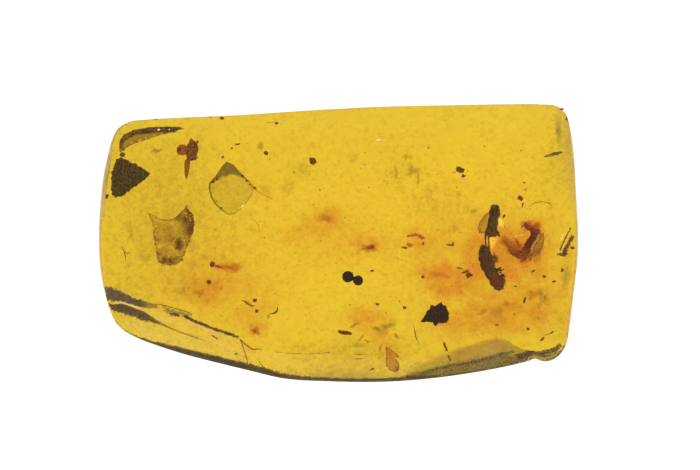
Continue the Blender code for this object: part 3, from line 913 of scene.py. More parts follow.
def edge_film(bm, first, last, width, look, across=10):
    """A thin film just under the surface, from down the side over the edge of the top, between two
    corners of the outline. look(point, v) gives the edge, the opacity and the tone."""
    _, points, inward = fitted_outline()
    rows, facings, places = [], [], []
    for i in range(first * OUTLINE_STEPS, last * OUTLINE_STEPS + 1):
        point, way = points[i % len(points)], inward[i % len(points)]
        lip, _ = top_at(*(point + way * LIP))
        row, facing = [], []
        for j in range(across + 1):
            reach = (SKIRT + width(point)) * j / across - SKIRT
            if reach < LIP:
                outward = Vector((-way.x, -way.y, 0))
                row.append(Vector((*point, lip.z + min(reach, 0.0) - RIM_DEPTH)) - outward * RIM_DEPTH)
                facing.append(outward)
            else:
                spot, normal = top_at(*(point + way * reach))
                row.append(spot - normal * RIM_DEPTH)
                facing.append(normal)
        rows.append(row)
        facings.append(facing)
        places.append(point)
    last_row = len(rows) - 1
    grid_sheet(bm, rows, RIM_FILM, lambda u, v: look(places[round(u * last_row)], v), facings)


def ride(piece, slot, *nodes):
    """Fix a piece to the body in place of the nodes that it stands for, and hide those CAD parts. The
    slot is not used.
    """
    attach(piece, "root")
    if nodes:
        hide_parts(*nodes)
    return piece


# ---------------------------------------------------------------------------------------------
# Sealed pieces

def settings():
    return bpy.context.scene.amber_inclusions


BRISTLES = 12   # along the large insect's hind body


def insect():
    """A narrow fore body, a wider hind body, stub legs and a folded wing."""
    bm = bmesh.new()
    tube(bm, ((9.36, 2.32, 0.25, 0), (9.36, 2.25, 0.25, 0.38), (9.36, 2.02, 0.25, 0.60),
              (9.34, 1.66, 0.25, 0.70), (9.27, 1.30, 0.20, 0.66), (9.20, 0.95, 0.15, 0.64),
              (9.17, 0.66, 0.10, 0.76), (9.18, 0.46, 0.10, 0.66), (9.18, 0.34, 0.05, 0)),
         rings=5, groove=0.12)
    tube(bm, ((8.62, -0.06, 0.0, 0), (8.66, -0.26, 0.0, 0.44), (8.73, -0.52, 0.0, 0.74),
              (8.79, -0.80, 0.0, 0.86), (8.86, -1.14, 0.0, 0.88), (9.02, -1.55, 0.0, 0.82),
              (9.24, -1.95, 0.0, 0.78), (9.46, -2.30, -0.05, 0.84), (9.62, -2.60, -0.05, 0.66),
              (9.70, -2.76, -0.05, 0.40), (9.72, -2.85, -0.05, 0)),
         rings=8, groove=0.14)
    for x in (8.80, 8.98):
        tube(bm, ((x + 0.06, 0.95, 0.1, 0), (x, 0.62, 0.1, 0.10), (x + 0.02, 0.10, 0.05, 0.09),
                  (x + 0.03, -0.40, 0.0, 0.12), (x, -0.80, 0.0, 0)), sides=8)
    tube(bm, ((9.30, 0.90, 0.1, 0), (9.46, 0.66, 0.1, 0.24), (9.60, 0.48, 0.08, 0.16),
              (9.72, 0.29, 0.05, 0)), sides=8)
    limbs(bm, (((8.90, -0.78, 0.15), (9.26, -0.84, 0.20), (9.50, -0.92, 0.10), 0.12),
               ((8.95, -1.00, 0.10), (9.22, -1.04, 0.10), (9.38, -1.02, 0.05), 0.10),
               ((8.95, -1.20, 0.10), (9.28, -1.18, 0.10), (9.48, -1.12, 0.00), 0.12),
               ((9.10, -1.95, 0.10), (9.56, -1.66, 0.15), (9.86, -1.40, 0.05), 0.08),
               ((9.35, -2.25, 0.10), (9.70, -2.02, 0.15), (9.84, -1.80, 0.05), 0.09),
               ((9.45, -2.50, 0.05), (9.90, -2.20, 0.10), (10.04, -1.92, 0.00), 0.09)))
    for k in range(BRISTLES):
        y = -1.62 - 0.1 * k
        root = Vector((9.42 + 0.3 * math.sin(0.28 * k), y, 0.1 * math.sin(2.3 * k)))
        tip = root + Vector((0.36 + 0.1 * math.sin(2.1 * k), 0.2 - 0.035 * k, 0.1))
        tube(bm, ((*root, 0), (*root.lerp(tip, 0.3), 0.1), (*tip, 0.03)), sides=6)
    chitin, olive, plum = settings().chitin, (0.25, 0.23, 0.07), (0.42, 0.13, 0.13)
    umber, tan = (0.22, 0.12, 0.05), (0.7, 0.42, 0.24)

    def inputs(graph):
        grain = graph.noise(0.14, detail=4.0, roughness=0.7)
        blotch = graph.noise(0.45, detail=3.0, roughness=0.6)
        tail = graph.spot(9.52, -2.4, 0.55, 0.75, soft=0.6)
        side = graph.spot(8.86, -0.9, 0.3, 0.9, soft=0.8)
        base = graph.mix(blotch.ease(0.35, 0.62), chitin, olive)
        base = graph.mix(side * 0.4, graph.mix(tail * 0.8, base, plum), umber)
        return matt(graph, graph.mix(grain.ease(0.5, 0.7) * 0.8, base, tan), grain, 0.03)

    piece = fused("insect_body", bm, 0.03, surface("insect_dark", inputs), lumps=0.035,
                  lump_size=0.14)
    return ride(piece, "insect_dark", "insect")


def folded_wing():
    """The large insect's folded wing: a clear film with darker edges and veins."""
    bm = bmesh.new()
    left = ((9.30, 2.10), (8.94, 1.84), (8.62, 1.55), (8.42, 1.20), (8.34, 0.88), (8.40, 0.60))
    right = ((9.38, 2.05), (9.30, 1.75), (9.20, 1.45), (9.14, 1.10), (9.10, 0.80), (9.05, 0.50))

    def look(u, v):
        border = max(0.0, 1 - v * 9, 1 - min(u, 1 - u) * 9)
        vein = max(0.0, 1 - abs(v - 0.45) * 14, 1 - abs(v - 0.7) * 16)
        solid = 0.16 + 0.22 * border + 0.14 * vein + 0.16 * (v < 0.35)
        return 1.0, min(1.0, solid), 0.3 * (border + vein)

    strip(bm, left, right, level(MIDDLE + 0.2, 0.08, 0.3), look, along=24, across=20)
    clear = film("wing_film", (0.5, 0.42, 0.1), (0.22, 0.16, 0.04), grain=0.15, ragged=0.5)
    return ride(finish_piece("insect_wing", bm, clear), "insect_dark")


# Stains: (x, y, width, height, turn, how solid, how dark)
HALO = (
    (10, 0.1, 1, 0.55, -40, 0.45, 0.1), (10.6, -0.3, 1.6, 0.8, -15, 0.5, 0.2),
    (11.75, 0.95, 1, 0.6, 10, 0.6, 0.4), (11.3, 1.1, 0.6, 0.6, 0, 0.5, 0.5),
    (11.2, -0.85, 1.2, 0.7, 10, 0.5, 0.3), (9.38, -0.95, 0.4, 0.6, 0, 0.7, 0.7),
    (12, -0.4, 0.5, 1.2, -20, 0.35, 0.4), (-0.75, 1.45, 1.1, 0.5, -10, 0.25, 0.4),
    (9.9, -2.35, 0.3, 0.8, 0, 0.35, 0.5), (-4.95, -5.28, 0.6, 0.56, 0, 0.4, 0.2),
    (-7, -1.4, 1.2, 0.4, -12, 0.3, 0.2), (-6.2, -1.5, 0.8, 0.5, -6, 0.35, 0.3),
    (0.9, -4.95, 0.6, 0.2, 30, 0.35, 0.6), (2.2, -5.15, 0.7, 0.24, -20, 0.35, 0.5),
    (1.3, -5.75, 0.6, 0.18, 50, 0.3, 0.6), (3, -4.95, 0.7, 0.3, 10, 0.3, 0.4),
    (3.5, -5.6, 0.5, 0.22, -50, 0.35, 0.6), (2.5, -6.3, 0.5, 0.2, 70, 0.35, 0.6),
    (-5.4, -3.6, 0.6, 0.2, -30, 0.3, 0.5), (-4.2, -4.4, 0.5, 0.2, 60, 0.3, 0.4),
    (-8.4, -3, 0.8, 0.4, -20, 0.2, 0.4), (8.6, -4.2, 0.7, 0.3, 40, 0.25, 0.4),
    (11.6, -3.1, 0.9, 0.5, 20, 0.25, 0.3), (10.1, -3.6, 0.5, 0.3, -30, 0.25, 0.4),
    (1.75, -0.3, 1.1, 0.5, 10, 0.4, 0.2), (7.72, -1.8, 0.6, 0.44, 10, 0.3, 0.3),
    (6, -1.9, 1.3, 0.4, -6, 0.2, 0),
)
HALO_SPREAD = 1.15
SMUDGE_SPREAD = 1.4


def insect_halo():
    """The stain that has seeped from both insects, brown wisps, and two arcs of a broken ring."""
    bm = bmesh.new()
    halo = level(MIDDLE - 0.45, 0.1)
    for x, y, across, up, turn, solid, dark in HALO:
        blot(bm, x, y, across * HALO_SPREAD, up * HALO_SPREAD, halo, cloudy(solid, dark, 1.6),
             turn=turn, ragged=0.7, rings=9, sectors=44)
    for first, turns, size in ((0.1, 5, 0.62), (3.6, 3, 0.5)):
        curl = [(4.5 + size * math.cos(first + 0.5 * k), 0.12 + 0.6 * size * math.sin(first + 0.5 * k))
                for k in range(turns)]
        ribbon(bm, curl, 0.3, halo, worn(0.5, 0.7, 0.2, 0.2, 0.4, 0.4), along=50)
    # The stain's colour is its own; its small glow is painted light
    red = film("insect_stain_and_glow", (1.0, 0.36, 0.04), (0.6, 0.1, 0.04), grain=0.2, ragged=0.5, glow=0.1)
    return ride(finish_piece("insect_halo", bm, red), "insect_red_brown")


def flaw_highlights():
    """Flaws between and beside the insects, painted as highlights: pale films that glow, standing for the
    light caught in them.
    """
    bm = bmesh.new()
    flaw = level(MIDDLE + 0.5)
    strip(bm, ((9.02, 0.42), (9.06, 0.1), (9.1, -0.2), (9.14, -0.42)),
          ((9.6, 0.36), (9.5, 0.08), (9.36, -0.18), (9.2, -0.42)), flaw,
          lambda u, v: (fade(u, v, 0.15, 0.15, 0.15, 0.15), 0.5 + 0.4 * (u < 0.25 or v < 0.25), 0.3 * v),
          along=20, across=14)
    strip(bm, ((9.55, 1.5), (9.52, 1.25), (9.6, 0.98)), ((9.72, 1.56), (9.9, 1.3), (9.94, 0.95)), flaw,
          lambda u, v: (fade(u, v, 0.15, 0.15, 0.2, 0.2), 0.6 + 0.35 * (v > 0.6), 0.1),
          along=16, across=12)
    ribbon(bm, ((10.45, 0.3), (10.7, 0.42), (11.0, 0.5), (11.25, 0.56)), 0.13, flaw,
           worn(0.5, 0.0, 0.3, 0.3, 0.5, 0.5))
    # Painted highlight: the glow stands for light caught in the flaws
    pale = film("flaw_highlight", (0.98, 0.86, 0.5), (0.8, 0.6, 0.16), grain=0.12, ragged=0.6, glow=0.7)
    return ride(finish_piece("flaw_highlights", bm, pale), "amber")


def curled_insect():
    """A curled, ringed body with a thin limb, two small swellings and stub legs."""
    bm = bmesh.new()
    tube(bm, ((9.76, 0.22, 0.0, 0), (9.92, 0.12, 0.0, 0.09), (10.08, -0.02, 0.0, 0.12),
              (10.22, -0.20, 0.0, 0.26), (10.38, -0.44, 0.0, 0.40), (10.62, -0.62, 0.0, 0.46),
              (10.95, -0.70, 0.0, 0.52), (11.22, -0.48, 0.0, 0.52), (11.34, -0.16, 0.0, 0.46),
              (11.52, 0.16, 0.05, 0.44), (11.70, 0.46, 0.10, 0.42), (11.64, 0.74, 0.15, 0.36),
              (11.40, 0.92, 0.15, 0.30), (11.22, 1.06, 0.12, 0.26), (11.24, 1.32, 0.10, 0)),
         rings=11, groove=0.15)
    ball(bm, 11.88, 0.66, 0.1, 0.46, stretch=(1.1, 0.8, 0.7), turn=30)
    ball(bm, 11.10, -0.92, 0.0, 0.26, stretch=(1.4, 0.9, 0.8))
    limbs(bm, (((10.9, -0.1, 0.2), (10.6, 0.22, 0.2), (10.3, 0.40, 0.1)),
               ((10.9, -0.3, 0.1), (10.72, -0.02, 0.2), (10.55, 0.18, 0.1)),
               ((11.3, 0.95, 0.1), (11.02, 1.02, 0.1), (10.9, 0.72, 0.0)),
               ((11.2, -0.7, 0.0), (11.52, -0.98, 0.1), (11.42, -1.16, 0.0)),
               ((10.9, -0.8, 0.0), (10.98, -1.08, 0.0), (10.86, -1.20, 0.0))), 0.10)
    red, orange, plum = settings().red_brown, (1.0, 0.68, 0.2), (0.34, 0.05, 0.07)

    def inputs(graph):
        purple = graph.spot(11.45, 0.15, 0.75, 0.95, soft=0.6, place=graph.warped(0.3, 0.25))
        mottle = graph.noise(0.16, detail=4.0, roughness=0.7)
        base = graph.mix(mottle.ease(0.38, 0.6), tuple(c * 0.45 for c in red), red)
        limb = graph.spot(10.2, -0.2, 0.7, 0.7, soft=0.6)
        base = graph.mix(limb * 0.8, base, orange)
        return matt(graph, graph.mix(purple * (1.1 - mottle * 0.5), base, plum), mottle, 0.03)

    piece = fused("curled_insect_body", bm, 0.03, surface("insect_red_brown", inputs),
                  lumps=0.035, lump_size=0.13)
    return ride(piece, "insect_red_brown", "curled_insect")


def crumpled_wing():
    """The curled insect's crumpled wing, a tan film with a dark edge, and its reddish stain."""
    bm = bmesh.new()
    left = ((11.86, 0.56), (11.62, 0.30), (11.45, 0.0), (11.32, -0.36), (11.20, -0.70))
    right = ((12.26, 0.62), (12.34, 0.24), (12.26, -0.16), (12.04, -0.56), (11.66, -0.86))

    def look(u, v):
        border = max(0.0, 1 - (1 - v) * 7)
        fold = max(0.0, 1 - abs(v - 0.55 - 0.1 * math.sin(9 * u)) * 9)
        return 1.0, min(1.0, 0.32 + 0.3 * border + 0.3 * fold), 0.7 * border + 0.6 * fold

    strip(bm, left, right, level(MIDDLE + 0.1, 0.2, 0.25), look, along=30, across=24)
    clear = film("crumpled_film", (0.85, 0.5, 0.12), (0.3, 0.12, 0.05), grain=0.12, ragged=0.8)
    return ride(finish_piece("curled_insect_wing", bm, clear), "insect_red_brown")


def small_fly():
    """A short body, a tapering tail, a reddish lobe and stub legs."""
    bm = bmesh.new()
    tube(bm, ((-8.80, 6.20, 0.0, 0), (-8.80, 6.02, 0.0, 0.26), (-8.76, 5.86, 0.0, 0.60),
              (-8.76, 5.56, 0.0, 0.74), (-8.80, 5.28, 0.0, 0.66), (-8.88, 5.02, 0.0, 0.46),
              (-8.95, 4.86, 0.0, 0)), rings=3, groove=0.15)
    tube(bm, ((-8.90, 5.20, 0.0, 0), (-9.04, 4.86, 0.0, 0.34), (-9.08, 4.50, 0.0, 0.32),
              (-9.10, 4.10, 0.0, 0.22), (-9.12, 3.72, 0.0, 0)), sides=10, rings=5, groove=0.15)
    limbs(bm, (((-8.80, 5.30, 0), (-8.52, 5.12, 0), (-8.36, 5.06, 0)),
               ((-8.60, 5.80, 0), (-8.46, 5.92, 0), (-8.40, 6.10, 0)),
               ((-8.70, 5.20, 0), (-8.56, 4.96, 0), (-8.60, 4.86, 0))), 0.15)
    ball(bm, -9.36, 5.50, 0.0, 0.66, stretch=(1.0, 0.95, 0.85))

    umber, tan, orange = (0.2, 0.09, 0.05), (0.85, 0.45, 0.14), (0.95, 0.55, 0.12)
    rust, amber, crimson = (0.8, 0.26, 0.06), (1.0, 0.62, 0.14), (0.6, 0.06, 0.03)

    def inputs(graph):
        red = graph.spot(-9.45, 5.50, 0.42, 0.5, soft=0.4)
        tail = graph.spot(-9.08, 4.3, 0.4, 0.75, soft=0.4)
        mottle = graph.noise(0.14, detail=4.0, roughness=0.7)
        base = graph.mix(mottle.ease(0.4, 0.6), umber, tan)
        base = graph.mix(tail * 0.8, base, orange)
        lobe = graph.mix(mottle.ease(0.35, 0.6), rust, amber)
        lobe = graph.mix(graph.spot(-9.56, 5.52, 0.2, 0.2, soft=0.6), lobe, crimson)
        return matt(graph, graph.mix(red, base, lobe), mottle, 0.02)

    piece = fused("small_fly_body", bm, 0.028, surface("insect_brown", inputs),
                  lumps=0.03, lump_size=0.12)
    return ride(piece, "insect_brown", "small_fly")


LEAF_SPOTS = (
    (-9.55, 0, 0.24, 0.9), (-9.6, -0.25, 0.2, 0.8), (-8.91, 0.78, 0.26, 0.7),
    (-10.05, -1.05, 0.26, 0.8), (-10.42, -1, 0.24, 0.8), (-9.75, -0.9, 0.18, 0.6),
    (-9.15, 1.45, 0.32, 0.55), (-8.9, 1.75, 0.3, 0.6), (-9, 2.05, 0.22, 0.7), (-9.5, 1.55, 0.3, 0.4),
    (-8.85, 1.15, 0.26, 0.5), (-10.2, 0.4, 0.3, 0.25), (-9.95, 0.25, 0.16, 0.35),
    (-10.9, 0.2, 0.2, 0.25), (-10.75, -0.6, 0.18, 0.4),
)


def leaf_scrap():
    """A torn, crinkled scrap of leaf, thin enough to see through."""
    outline = ((-11.50, 1.90), (-11.19, 1.74), (-10.71, 1.50), (-10.23, 1.41), (-9.75, 1.56),
               (-9.33, 1.98), (-9.06, 2.31), (-8.91, 1.98), (-8.64, 1.74), (-8.58, 1.08),
               (-8.70, 0.48), (-8.91, 0.00), (-9.15, -0.54), (-9.33, -1.08), (-9.63, -1.32),
               (-10.11, -1.44), (-10.53, -1.41), (-10.83, -1.14), (-10.95, -0.54),
               (-11.07, 0.00), (-11.13, 0.66), (-11.19, 1.26))

    def place(x, y, r):
        fold = 0.16 * rough(x, y, size=0.55) + 0.09 * rough(x, y, 3.0, size=0.2)
        ragged = 1 + 0.05 * r * rough(x, y, 7.0, size=0.12)
        return Vector((-9.9 + (x + 9.9) * ragged, 0.3 + (y - 0.3) * ragged, MIDDLE + 0.1 + fold))

    def look(point, r):
        dark = 0.0
        uneven = 0.55 * rough(point.x, point.y, 3, 0.22) + 0.3 * rough(point.x, point.y, 5, 0.1)
        for x, y, size, strength in LEAF_SPOTS:
            away = math.hypot(point.x - x, point.y - y) / size * (1 + uneven)
            dark = max(dark, strength * max(0.0, 1.1 - away * 0.75))
        side = max(0.0, point.x + 9.7)
        border = 0.3 * max(0.0, 1 - abs(r - 0.93) * 14)
        solid = 0.22 + 0.25 * side + border + 0.8 * dark + 0.25 * uneven
        return min(1.0, (1 - r) * 12), min(1.0, max(0.0, solid)), 0.6 * dark + 0.2 * side + border

    bm = bmesh.new()
    patch(bm, outline, place, lambda p, r: 0.05, look, rings=30, sectors=140, centre=(-9.9, 0.3))

    brown = film("leaf_brown", settings().leaf, (0.3, 0.1, 0.05), grain=0.11, ragged=1.4)
    return ride(finish_piece("leaf_scrap", bm, brown), "leaf", "leaf_fragment")


def pellets():
    """Two round pellets that stick together."""
    bm = bmesh.new()
    ball(bm, 0.564, -2.016, 0.0, 0.69, fine=4)
    ball(bm, 1.176, -2.244, 0.0, 0.61, fine=4)
    ball(bm, 0.888, -2.124, 0.0, 0.24)
    black = dull("pellet_black", settings().pellet, size=0.1, contrast=0.3, roughness=0.45,
                 bump=0.01)
    piece = fused("round_pellets", bm, 0.025, black, lumps=0.006, lump_size=0.1, smooth=1)
    return ride(piece, "pellet", "pellet_pair")


def crumb():
    """An angular dark crumb with a spike, a corner and a small lobe."""
    bm = bmesh.new()
    tube(bm, ((4.90, -4.74, 0.0, 0), (5.15, -4.62, 0.0, 0.26), (5.45, -4.44, 0.0, 0.72),
              (5.80, -4.28, 0.0, 1.06), (6.20, -4.26, 0.0, 1.02), (6.50, -4.24, 0.0, 0.80),
              (6.62, -4.22, 0.0, 0)), flatness=0.7)
    tube(bm, ((5.90, -4.20, 0.0, 0), (6.02, -3.86, 0.0, 0.36), (6.12, -3.66, 0.0, 0.26),
              (6.24, -3.50, 0.0, 0)))
    tube(bm, ((6.2, -4.3, 0.0, 0), (6.42, -4.6, 0.0, 0.3), (6.50, -4.84, 0.0, 0)))
    ball(bm, 5.80, -4.78, 0.0, 0.34)
    ball(bm, 5.62, -3.90, 0.0, 0.34)
    dark = dull("chunk_dark", (0.1, 0.045, 0.02), size=0.14, contrast=0.4, roughness=0.6,
                light=(0.3, 0.14, 0.1))
    piece = fused("crumb", bm, 0.03, dark, lumps=0.07, lump_size=0.2, smooth=1)
    return ride(piece, "chunk", "dark_chunk")


def bark_flake():
    """A three-cornered flake of dark grainy bark."""
    outline = ((-13.29, 4.95), (-13.05, 5.10), (-12.63, 4.92), (-12.09, 4.68), (-11.55, 4.38),
               (-11.22, 4.17), (-11.55, 3.84), (-12.03, 3.48), (-12.51, 3.12), (-12.93, 2.82),
               (-13.35, 2.73), (-13.56, 2.88), (-13.62, 3.30), (-13.62, 3.90), (-13.50, 4.50))

    def place(x, y, r):
        teeth = 0.09 * r**4 * rough(x, y, 2.0, size=0.14)
        way = Vector((x + 12.6, y - 3.9, 0))
        return Vector((x, y, MIDDLE)) + way.normalized() * teeth if r else Vector((x, y, MIDDLE))

    def thickness(point, r):
        grain = 0.3 * rough(point.x, point.y, size=0.12) + 0.3 * rough(point.x, point.y, 5, 0.35)
        return 0.55 * (1 + grain)

    bm = bmesh.new()
    patch(bm, outline, place, thickness, rings=34, sectors=150, centre=(-12.75, 3.9))

    body, lichen = settings().bark, (0.55, 0.5, 0.22)

    def inputs(graph):
        grain = graph.noise(0.13, detail=4.0, roughness=0.7)
        chips = graph.cells(0.16)
        base = graph.mix(grain.ease(0.4, 0.6), tuple(c * 0.4 for c in body), body)
        light = chips.ease(0.5, 0.2) * grain.ease(0.45, 0.58)
        return matt(graph, graph.mix(light * 0.8, base, lichen), grain, 0.06, 0.5)

    return ride(finish_piece("bark_flake", bm, surface("flake_dark", inputs)), "flake_dark",
                "dark_flake")


def orange_scrap():
    """A small bright flake, darker at its border and its tip."""
    outline = ((2.84, -6.15), (3.15, -6.36), (3.57, -6.66), (3.70, -6.90), (3.63, -7.26),
               (3.46, -7.42), (3.09, -7.32), (2.88, -7.02), (2.82, -6.60))

    def look(point, r):
        dark = 0.5 * (r > 0.85) + 0.6 * max(0.0, 1 - math.hypot(point.x - 3.5, point.y + 7.2) * 3)
        dark += 0.5 * max(0.0, rough(point.x, point.y, 2, 0.2))
        return min(1.0, (1 - r) * 10), min(0.9, 0.45 + 0.4 * dark), dark

    bm = bmesh.new()
    patch(bm, outline,
          lambda x, y, r: Vector((x + 0.05 * rough(x, y, 1, 0.15), y, MIDDLE + 0.05)),
          lambda p, r: 0.2 * (1 + 0.5 * rough(p.x, p.y, size=0.2)), look, rings=14, sectors=80)
    # The flake's colour is its own; its small glow is painted light
    orange = film("flake_orange", (1.0, 0.5, 0.04), (0.5, 0.16, 0.04), grain=0.16, ragged=0.6, glow=0.2)
    return ride(finish_piece("orange_scrap", bm, orange), "flake_orange", "orange_flake")


# ---------------------------------------------------------------------------------------------
# Painted shade, reflections and glow, and films, dirt and cracks near the surface

# Lines in plan of the painted dark reflection on the ground corner's facets and ridges
BAND_TOP = (
    (-14.04, -2.5), (-13.65, -2.53), (-13.23, -2.73), (-12.75, -2.96), (-12.3, -3.21), (-11.85, -3.34),
    (-11.43, -3.48), (-11.01, -3.59), (-10.65, -3.67))
BAND_FOOT = (
    (-13.89, -3.46), (-13.41, -3.56), (-12.95, -3.52), (-12.39, -3.67), (-12.09, -3.79),
    (-11.85, -3.86), (-11.49, -3.92), (-11.07, -3.92), (-10.65, -3.9))
BAND2_TOP = (
    (-13.8, -3.57), (-13.41, -3.65), (-12.95, -3.61), (-12.39, -3.78), (-11.85, -3.97),
    (-11.49, -4.16), (-10.92, -4.56), (-10.32, -4.9), (-9.45, -5.3), (-8.61, -5.57), (-7.71, -5.89))
BAND2_FOOT = (
    (-13.59, -3.99), (-13.35, -4.23), (-12.87, -4.34), (-12.21, -4.56), (-11.49, -4.77),
    (-10.95, -4.87), (-10.35, -5.04), (-9.45, -5.4), (-8.61, -5.68), (-7.71, -5.96))
SMEAR_TOP = (
    (-10.71, -3.67), (-10.35, -3.73), (-9.99, -3.84), (-9.51, -3.96), (-9.09, -4.09), (-8.73, -4.26))
SMEAR_FOOT = (
    (-10.71, -3.92), (-10.35, -4.23), (-9.99, -4.43), (-9.51, -4.44), (-9.09, -4.56), (-8.73, -4.7))
LEDGE = (
    (-9.21, -4.35), (-8.7, -4.62), (-8.15, -4.83), (-7.59, -5.06), (-6.95, -5.28), (-6.3, -5.48),
    (-5.93, -5.68))
LEDGE_TAIL = (
    (-5.93, -5.68), (-5.67, -5.94), (-5.37, -6.18), (-5.1, -6.36), (-4.77, -6.33), (-4.47, -6.38))
FAINT = ((-3.75, -6.5), (-3.21, -6.56), (-2.31, -6.62), (-1.23, -6.6), (-0.27, -6.48))
CREASE1 = ((-5.88, -5.7), (-5.75, -6.06), (-5.64, -6.42), (-5.52, -6.78), (-5.42, -7.2))
CREASE2 = ((-4.77, -7.08), (-4.56, -7.32), (-4.47, -7.56))
DASH = ((-7.57, -5.53), (-7.38, -5.63), (-7.2, -5.75))


def rim_line(start, end, inset):
    """Points in plan along the near edge from one x to another, moved inwards by insets."""
    _, points, inward = fitted_outline()
    near = sorted(((p, way) for p, way in zip(points, inward) if p.y < -3.0),
                  key=lambda pair: pair[0].x)
    result = []
    for i in range(RIM_POINTS):
        x = start + (end - start) * i / (RIM_POINTS - 1)
        k = next(k for k in range(1, len(near)) if near[k][0].x >= x)
        (p, way), (q, _) = near[k - 1], near[k]
        share = (x - p.x) / max(q.x - p.x, 1e-6)
        result.append(p.lerp(q, share) + way * inset(x))
    return result


def stepped(rows):
    """A function through (x, value) rows, level beyond its ends."""

    def value(x):
        if x <= rows[0][0]:
            return rows[0][1]
        for (a, p), (b, q) in zip(rows, rows[1:]):
            if x <= b:
                return p + (q - p) * (x - a) / (b - a)
        return rows[-1][1]

    return value


def shade_film_material(name, colour, ragged=0.7):
    """A film from a colour down to a darker tone of it, for painted shade."""
    return film(name, colour, tuple(c * 0.4 for c in colour), grain=0.1, ragged=ragged)


def ridge_dark_reflection():
    """Painted dark reflection along the two ridges of the ground corner and in its creases: brown films
    where the facets reflect the dark camera and room above.
    """
    bm = bmesh.new()
    near = under_top(FACET_FILM_DEPTH)

    def upper(u, v):
        solid = stepped(((0.0, 0.95), (0.45, 0.95), (0.65, 0.8), (0.8, 0.5), (1.0, 0.3)))(u)
        dark = stepped(((0.0, 0.05), (0.35, 0.1), (0.5, 0.6), (0.7, 0.6), (0.85, 0.3)))(u)
        return fade(u, v, 0, 0.1, 0.2, 0.15), solid, dark

    def lower(u, v):
        solid = stepped(((0.0, 0.9), (0.35, 0.92), (0.55, 0.5), (1.0, 0.35)))(u)
        return fade(u, v, 0, 0.15, 0.1, 0.45), solid, 0.35 - 0.1 * u

    strip(bm, BAND_TOP, BAND_FOOT, near, upper, along=70, across=12)
    strip(bm, BAND2_TOP, BAND2_FOOT, near, lower, along=90, across=12)
    strip(bm, SMEAR_TOP, SMEAR_FOOT, near,
          lambda u, v: (fade(u, v, 0.3, 0.2, 0.4, 0.5) * 0.9, 0.4, 0.0), along=30, across=10)
    ribbon(bm, SMEAR_TOP, 0.08, under_top(CREASE_DEPTH), worn(0.55, 0.3))
    blot(bm, -9.72, -4.30, 0.7, 0.26, under_top(CREASE_DEPTH), round_look(0.85, 0.3, 2), turn=-12,
         ragged=0.5)
    ribbon(bm, LEDGE, 0.24, near, worn(0.95, 0.45, 0.05, 0.05, 0.4, 0.4), along=50, across=8)
    for line, width, solid in ((LEDGE_TAIL, 0.084, 0.85), (FAINT, 0.06, 0.4), (CREASE1, 0.072, 0.7),
                               (CREASE2, 0.06, 0.6), (DASH, 0.096, 0.7)):
        ribbon(bm, line, width, near, worn(solid, 0.4, 0.08, 0.08, 0.3, 0.3))
    blot(bm, -6.10, -6.63, 0.26, 0.12, near, round_look(0.8, 0.6), 20)
    return ride(finish_piece("ridge_dark_reflection", bm, shade_film_material("ridge_dark_reflection", settings().skin)),
                "flake_dark")


# Width and tone of the painted shade along the near edge, by x
RIM_WIDTH = (
    (-13.4, 0.08), (-12.4, 0.12), (-11.5, 0.2), (-9.6, 0.38), (-8.1, 0.44), (-6.3, 0.46), (-4.5, 0.48),
    (-3.6, 0.38), (-2, 0.3), (0, 0.26), (3, 0.28), (4.5, 0.32), (6, 0.14), (11, 0.12), (12.5, 0.16),
)
RIM_TONE = (
    (-13.4, -0.5), (-12, -0.3), (-11, 0), (-8.5, 0.4), (-6.5, 0.6), (-5, 0.4), (-3.5, 0.1), (-2, 0.15),
    (0, 0.2), (5, 0.2), (11, 0.1), (13.5, 0.3),
)


def facet_reflection():
    """A painted reflection on the ground corner, between its painted dark reflection and the edge: a pale
    film that glows, standing for the bright sky seen in the sloping facets.
    """
    bm = bmesh.new()
    near = under_top(FACET_REFLECTION_DEPTH)
    ridge = ((-13.3, -4.05), (-12.2, -4.35), (-10.95, -4.75), (-9.45, -5.2), (-7.71, -5.7), (-5.3, -6.45))
    edge = rim_line(-13.3, -4.9, lambda x: 0.2)

    def outer(u, v):
        solid = min(1.0, v / 0.25, u / 0.12, (1 - u) / 0.12)
        return 1.0, 0.17 * max(0.0, solid) + 0.06 * (v > 0.5), 0.2

    def inner(u, v):
        return 1.0, 0.16 * max(0.0, fade(u, v, 0.2, 0.2, 0.3, 0.3)), 0.2

    strip(bm, ridge, edge, near, outer, along=60, across=12)
    strip(bm, ((-11.2, -3.95), (-10.2, -4.3), (-9.1, -4.5), (-7.6, -4.95), (-5.9, -5.45)),
          ((-10.9, -4.5), (-10.3, -4.72), (-9.4, -5.1), (-8.0, -5.5), (-5.6, -6.3)), near,
          inner, along=50, across=12)
    # Painted reflection: pale colour with a glow of its own
    pale = film("facet_reflection", (1.0, 0.78, 0.16), (0.9, 0.62, 0.06), grain=0.2, ragged=0.5, glow=0.4)
    return ride(finish_piece("facet_reflection", bm, pale), "amber")


def near_edge_shade():
    """Painted shade along the near edge: a dark film where the rounded edge reflects the dark
    surroundings back in, and a fainter shade across its middle.
    """
    bm = bmesh.new()
    width, tone = stepped(RIM_WIDTH), stepped(RIM_TONE)

    def look(point, v):
        solid = 0.55 + 0.38 * min(1.0, max(0.0, point.x + 12.6))
        return min(1.0, (1 - v) / 0.2), solid, tone(point.x) - 0.2 * v

    edge_film(bm, 25, 44, lambda point: width(point.x), look)

    def shade(point, v):
        middle = max(0.0, 1 - abs(point.x - 0.6) / 5.5)
        return 1.0, 0.8 * middle * (1 - v) ** 1.5, 0.1

    edge_film(bm, 31, 42, lambda point: 1.0, shade, across=14)
    body = shade_film_material("near_edge_shade", settings().near_edge_shade, ragged=0.35)
    return ride(finish_piece("near_edge_shade", bm, body), "flake_dark")


